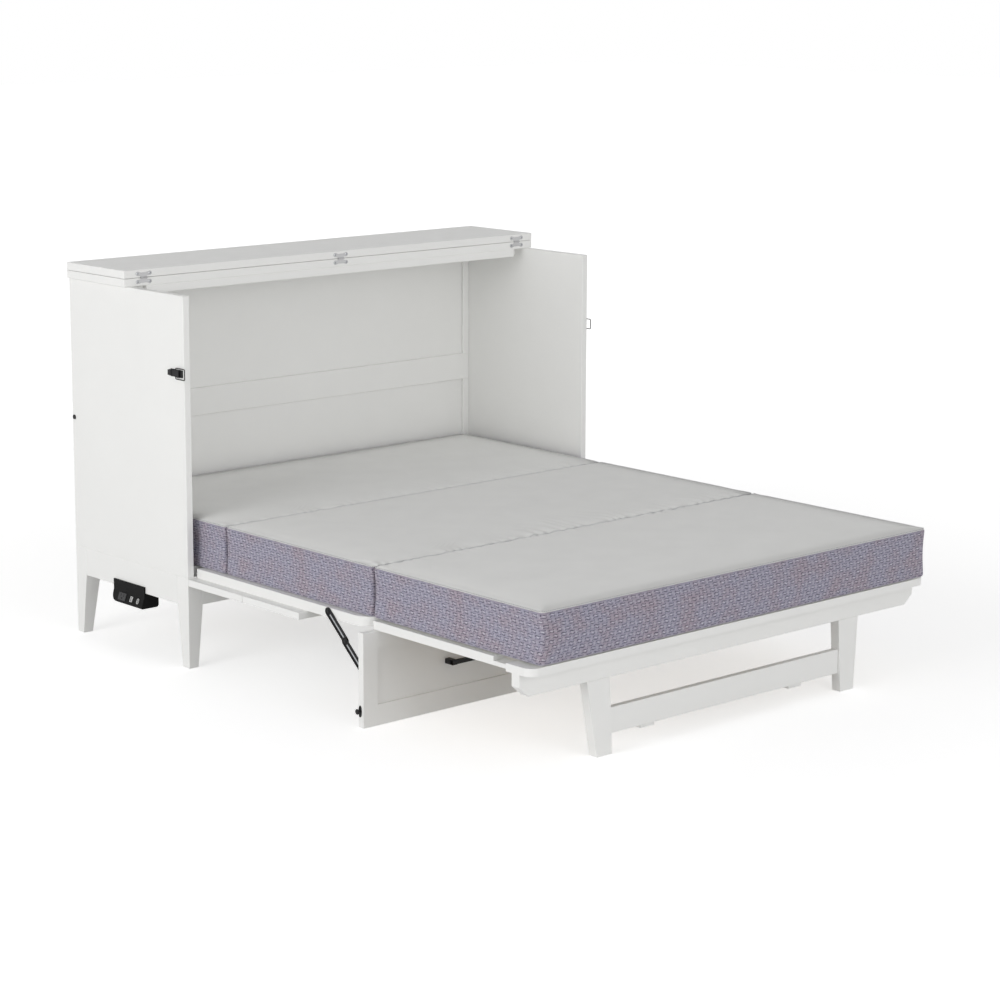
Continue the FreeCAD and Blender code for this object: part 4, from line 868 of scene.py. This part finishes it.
bar = stroke(key_x, key_y, (-0.02, 0.27), (0.23, 0.075))
hook = stroke(key_x, key_y, (-0.26, 0.12), (0.05, 0.16))
barb = stroke(key_x, key_y, (0.3, 0.36), (0.05, 0.1))
light_dash = stroke(cell_x, cell_y, (0.04, 0.03), (0.13, 0.085))
outer_dash = stroke(key_x, key_y, (0.43, 0.1), (0.05, 0.22))
dark = patchy(calc(tree, "MAXIMUM", bar, calc(tree, "MAXIMUM", hook, barb)), 120.0, 0.34, 0.56, 0.3)
light = patchy(calc(tree, "MAXIMUM", light_dash, calc(tree, "MULTIPLY", outer_dash, 0.55)),
               95.0, 0.36, 0.6, 0.35)

# %% Colours of the side knit
patches = spread(tree, noise_on(tree, place, 14.0), 0.42, 0.66)
ground = blend_colours(tree, patches, srgb(166, 163, 181), srgb(169, 157, 169))
with_dash = blend_colours(tree, calc(tree, "MULTIPLY", light, 0.9), ground, srgb(218, 218, 226))
figured = blend_colours(tree, calc(tree, "MULTIPLY", dark, 0.92), with_dash, srgb(76, 75, 94))
knit = use_group(tree, knit_loops, Place=place, Loops_per_metre=460.0)
relief = calc(tree, "SUBTRACT", calc(tree, "MULTIPLY", knit["Height"], 0.5),
              calc(tree, "MULTIPLY", dark, 0.6))
feed_all(tree, shader, Base_Color=blend_colours(tree, 1.0, figured, knit["Shade"], "MULTIPLY"),
         Roughness=spread(tree, dark, 0.0, 1.0, 0.86, 0.78), Normal=bump(tree, relief, 0.5, 0.0012))
print("band_knit has", len(tree.nodes), "nodes")

# %% [markdown]
# Each mattress section is a foam block in a sewn cover. Its outline from above is a rectangle with small
# rounded corners; its sides pull in a little between the corners; the top edge rolls over, and the top is
# crowned. Where the cover is stitched to its neighbour it gathers into short puckers, which run away from
# the seam and fade out. A ring of points is laid round the section at each level, from the middle of the
# underside, up the side, over the edge and in to the middle of the top. Rings make it easy to give the
# side band its own coordinates, and to know how far each point is from the seam.

# %% Measure the sections
HALF_WIDTH = 0.762
UNDERSIDE = 0.3006
SEAM_RISE, FULL_RISE = 0.1405, 0.1496
RING_POINTS = 1200
SECTIONS = {
    # corner radii at the foot's and the head's end, then how deep it gathers: sides, foot's end, head's
    "mattress_head": ((0.010, 0.016), (0.0003, 0.0050, 0.0006)),
    "mattress_middle": ((0.010, 0.010), (0.0003, 0.0085, 0.0012)),
    "mattress_foot": ((0.015, 0.010), (0.0003, 0.0006, 0.0036)),
}
ends = {name: [corner[1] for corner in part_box(name)] for name in SECTIONS}
FOOT_Y, HEAD_Y = ends["mattress_foot"][0], ends["mattress_head"][1]
for name, (low_y, high_y) in ends.items():
    print(name, "is", round((high_y - low_y) * 1000), "mm long")


# %% A ring with rounded corners
def ring_at(low_y, high_y, radii, inset):
    """Points round a rectangle, evenly spaced, with the distance run so far at each one."""
    half = HALF_WIDTH - inset
    y0, y1 = low_y + inset, high_y - inset
    outline = []
    for x, y, start, radius in ((half, y0, -90, radii[0]), (half, y1, 0, radii[1]),
                                (-half, y1, 90, radii[1]), (-half, y0, 180, radii[0])):
        radius = max(radius - inset * 0.3, 0.004)
        centre = (x - math.copysign(radius, x), y + (radius if y == y0 else -radius))
        outline += arc(centre, radius, start, start + 90)
    outline = np.array(outline + outline[:1])
    run = np.concatenate([[0], np.cumsum(np.hypot(*np.diff(outline, axis=0).T))])
    wanted = np.linspace(0, run[-1], RING_POINTS, endpoint=False)
    return np.stack([np.interp(wanted, run, outline[:, k]) for k in (0, 1)], axis=1), wanted


# %% The section's profile, ring by ring
BAND_START = 5
SIDE_START = 0.0095
SIDE_RINGS, DRAWN_IN = 15, 0.0026
TOP_INSETS = (0.0022, 0.0026, 0.0036, 0.0052, 0.0075, 0.0105, 0.014, 0.019, 0.025, 0.033, 0.043,
              0.055, 0.07)
TOP_RINGS = 22
EDGE_REACH = 0.020
FOLD_SPACING, FOLD_FADE, FOLD_START = 0.044, 0.05, 0.005


def side_levels():
    """(inset, height above the underside), from the underside's middle to the top seam."""
    levels = [(0.30, 0.0), (0.20, 0.0), (0.11, 0.0), (0.05, 0.0), (0.018, 0.0), (0.0075, 0.0004),
              (0.0035, 0.0022), (0.0015, 0.0052), (0.0008, SIDE_START)]
    for rise in np.linspace(0.015, SEAM_RISE - 0.005, SIDE_RINGS):
        share = (rise - SIDE_START) / (SEAM_RISE - SIDE_START)
        levels.append((0.0006 + DRAWN_IN * math.sin(math.pi * share), rise))
    return levels + [(0.0008, SEAM_RISE - 0.0024), (0.0019, SEAM_RISE - 0.0008), (0.0032, SEAM_RISE)]


def folds_along(run, away, seed):
    """Gathers in the cover: soft ridges across the seam that wander and come and go along it."""
    drift = 1.2 * noise.noise(Vector((run * 11.0, away * 9.0, seed)))
    ridge = math.sin(2 * math.pi * (run / FOLD_SPACING + drift + away * 7.0))
    patch = 0.6 + 1.1 * noise.noise(Vector((run * 4.0, seed, 1.0)))
    return max(patch, 0.15) * ridge


def top_height(x, y, low_y, high_y, gathers, seed):
    """The height of the cover's top above the underside at a point: rolled edges, crown and gathers."""
    from_side, from_low, from_high = HALF_WIDTH - abs(x), y - low_y, high_y - y
    nearest = max(min(from_side, from_low, from_high), 0.0)
    rounded = math.sqrt(1 - (1 - min(nearest / EDGE_REACH, 1.0)) ** 2)
    roll = 0.6 * rounded + 0.4 * (1 - math.exp(-nearest / 0.03))
    height = SEAM_RISE + (FULL_RISE - SEAM_RISE) * roll
    for run, away, depth in zip((y, x, x), (from_side, from_low, from_high), gathers):
        fading = math.exp(-away / FOLD_FADE) * min(1.0, away / FOLD_START)
        height += depth * fading * (0.5 * folds_along(run, away, seed) - 0.25)
    lie = noise.noise(Vector((x * 5.0, y * 5.0, seed + 3.0)))
    return height + 0.0006 * lie * min(1.0, nearest / 0.1)


def section_rings(low_y, high_y, radii, gathers, seed):
    """A section's rings of points, from the underside's middle to the top's, and the runs of its side."""
    rings, runs = [], []
    for inset, rise in side_levels():
        plan, run = ring_at(low_y, high_y, radii, inset)
        rings.append([(x, y, UNDERSIDE + rise) for x, y in plan])
        runs.append(run)
    plans = [ring_at(low_y, high_y, radii, inset)[0] for inset in TOP_INSETS]
    middle_y = (low_y + high_y) / 2
    widest = plans[-1]
    for n in range(1, TOP_RINGS):
        kept = 1 - (n / TOP_RINGS) ** 1.15
        plans.append([(x * kept, middle_y + (y - middle_y) * kept) for x, y in widest])
    for plan in plans + [[(0, middle_y)]]:
        rings.append([(x, y, UNDERSIDE + top_height(x, y, low_y, high_y, gathers, seed))
                      for x, y in plan])
    return rings, runs


def build_section(name, radii, gathers, seed):
    """One sewn mattress section as a closed mesh, with its cloth coordinates; gives it and its seam."""
    low_y, high_y = ends[name]
    rings, runs = section_rings(low_y, high_y, radii, gathers, seed)
    top_middle = rings.pop()
    points = [point for ring in rings for point in ring]
    points += [(0, (low_y + high_y) / 2, UNDERSIDE)] + top_middle
    count = RING_POINTS
    faces = []
    for level in range(len(rings) - 1):
        for k in range(count):
            a, b = level * count + k, level * count + (k + 1) % count
            faces.append((a, b, b + count, a + count))
    top_start = (len(rings) - 1) * count
    for k in range(count):
        faces.append(((k + 1) % count, k, len(points) - 2))
        faces.append((top_start + k, top_start + (k + 1) % count, len(points) - 1))
    mesh = bpy.data.meshes.new(name + "_sewn")
    mesh.from_pydata(points, [], faces)
    mesh.materials.append(top_knit)
    mesh.materials.append(band_knit)
    mesh.shade_smooth()
    coordinates = mesh.uv_layers.new(name="cloth").data
    for polygon in mesh.polygons:
        level, k = divmod(polygon.index, count)
        on_band = BAND_START <= level < len(runs) - 1
        polygon.material_index = int(on_band)
        for corner, point in zip(polygon.loop_indices, polygon.vertices):
            x, y, z = mesh.vertices[point].co
            if on_band:
                run = runs[point // count]
                closing = k == count - 1 and point % count == 0
                x, y = 2 * run[-1] - run[-2] if closing else run[point % count], z - UNDERSIDE
            coordinates[corner].uv = (x, y)
    edge = mesh.attributes.new("from_edge", "FLOAT", "POINT")
    edge.data.foreach_set("value", [max(0.0, min(HALF_WIDTH - abs(x), y - FOOT_Y, HEAD_Y - y))
                                    if z > UNDERSIDE + SEAM_RISE else 0.5 for x, y, z in points])
    return new_object(name + "_sewn", mesh), rings[len(runs) + 2]


# %% The sections stand for the foam blocks
seam_lines = {}
for number, (name, (radii, gathers)) in enumerate(SECTIONS.items()):
    section, seam_lines[name] = build_section(name, radii, gathers, seed=number * 11.0 + 2.0)
    print(name, len(section.data.polygons), "faces")
    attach(section, name)
    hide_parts(name)

# %% [markdown]
# A row of thread stitches holds the top to the band. It follows the seam all the way round each section,
# so Geometry Nodes lay it: the seam's points become a curve, the curve is divided evenly, and one short
# rounded stitch is put on each point, turned along the seam.

# %% The stitch tree
stitch_tree, group_in, group_out = new_shape_tree(
    "seam_stitches", [("Spacing", "Float", 0.0065), ("Length", "Float", 0.0042),
                      ("Thread", "Float", 0.0011), ("Finish", "Material", None)])
stitch_in = group_in.outputs
seam_curve = shape_step(stitch_tree, "GeometryNodeMeshToCurve", stitch_in["Geometry"])
divided = add_node(stitch_tree, "GeometryNodeResampleCurve", mode="LENGTH")
feed_all(stitch_tree, divided, Curve=seam_curve, Length=stitch_in["Spacing"])
ball = feed_all(stitch_tree, add_node(stitch_tree, "GeometryNodeMeshUVSphere"),
                Segments=6, Rings=4, Radius=0.5)
size = join(stitch_tree, stitch_in["Length"], stitch_in["Thread"], stitch_in["Thread"])
stitch = shape_step(stitch_tree, "GeometryNodeTransform", ball.outputs["Mesh"], Scale=size)
tangent = add_node(stitch_tree, "GeometryNodeInputTangent").outputs[0]
real = lay_on_points(stitch_tree, divided.outputs[0], stitch, "X", tangent)
last = shape_step(stitch_tree, "GeometryNodeSetMaterial", real, Material=stitch_in["Finish"])
feed(stitch_tree, group_out.inputs[0], last)
print("stitch tree has", len(stitch_tree.nodes), "nodes")

# %% Thread, and the stitches round each section
STITCH_LIFT = 0.0002

thread, tree, shader = new_material("thread", Roughness=0.7, Specular_IOR_Level=0.3, Sheen_Weight=0.2)
wave = add_node(tree, "ShaderNodeTexWave", bands_direction="DIAGONAL")
twist = feed_all(tree, wave, Vector=object_place(tree), Scale=900.0).outputs["Fac"]
feed_all(tree, shader, Base_Color=blend_colours(tree, twist, srgb(150, 149, 164), srgb(118, 117, 136)),
         Normal=bump(tree, twist, 0.4, 0.0002))
for name, seam in seam_lines.items():
    points = [(x, y, z + STITCH_LIFT) for x, y, z in seam]
    links = [(n, (n + 1) % len(points)) for n in range(len(points))]
    stitches = grown_mesh(name + "_stitches", points, links, [], stitch_tree, {"Finish": thread})
    place_piece(stitches, name, "mattress_cloth")

# %% [markdown]
# The room is a seamless white studio: a pale floor, and a white world behind it. The world lights the bed
# evenly. A large soft lamp stands to the left, because the cabinet's side is the brightest face in the
# photograph, and a weaker one stands before the foot end. The floor adds a little of its own white for
# the camera only, so that it meets the background without a line but still shows the bed's shadow.

# %% Floor
FLOOR_REACH, FLOOR_DROP = 30, 0.0005


def seen_directly(tree):
    """1 for what the camera sees, straight or in a shiny or clear surface, and 0 for what only lights."""
    ray = add_node(tree, "ShaderNodeLightPath").outputs
    return calc(tree, "MAXIMUM", ray["Is Camera Ray"],
                calc(tree, "MAXIMUM", ray["Is Glossy Ray"], ray["Is Transmission Ray"]))


floor_mesh = bpy.data.meshes.new("studio_floor")
floor_corners = rectangle(-FLOOR_REACH, FLOOR_REACH, -FLOOR_REACH, FLOOR_REACH)
floor_mesh.from_pydata([(x, y, 0) for x, y in floor_corners], [], [(0, 1, 2, 3)])
floor = new_object("studio_floor", floor_mesh)
floor.location.z = -FLOOR_DROP
floor_white, tree, shader = new_material("floor_white", Roughness=0.9, Specular_IOR_Level=0.1,
                                         Base_Color=(0.86, 0.86, 0.86, 1), Emission_Color=(1, 1, 1, 1))
reach = add_node(tree, "ShaderNodeVectorMath", operation="LENGTH")
feed(tree, reach.inputs[0], object_place(tree))
own_white = spread(tree, reach.outputs["Value"], 1.6, 6.0, 0.52, 0.78)
feed(tree, shader.inputs["Emission Strength"], calc(tree, "MULTIPLY", seen_directly(tree), own_white))
floor_mesh.materials.append(floor_white)

# %% World and lamps
HORIZON_LEVEL, OVERHEAD_LEVEL = 1.02, 0.15
LAMP_SIZE = 3.4

world = bpy.data.worlds.new("studio")
bpy.context.scene.world = world
world.use_nodes = True
tree = world.node_tree
sky = split(tree, add_node(tree, "ShaderNodeTexCoord").outputs["Generated"])
level = spread(tree, sky["Z"], 0.0, 1.0, HORIZON_LEVEL, OVERHEAD_LEVEL)
feed_all(tree, tree.nodes["Background"], Color=(1, 1, 1, 1),
         Strength=spread(tree, seen_directly(tree), 0.0, 1.0, level, 1.0))


def soft_lamp(name, place, target, watts):
    """A large square lamp that points at a place."""
    data = bpy.data.lights.new(name, "AREA")
    data.shape = "SQUARE"
    data.size = LAMP_SIZE
    data.energy = watts
    lamp = new_object(name, data)
    lamp.location = place
    lamp.rotation_euler = (Vector(target) - Vector(place)).to_track_quat("-Z", "Y").to_euler()


soft_lamp("side_lamp", (-6.5, -0.6, 2.1), (0, 0.2, 0.6), 131)
soft_lamp("front_lamp", (-0.6, -7.0, 1.9), (0, 0, 0.5), 78)
print("a world and two lamps made")

# %% Finish
bpy.context.scene.view_settings.view_transform = "Standard"
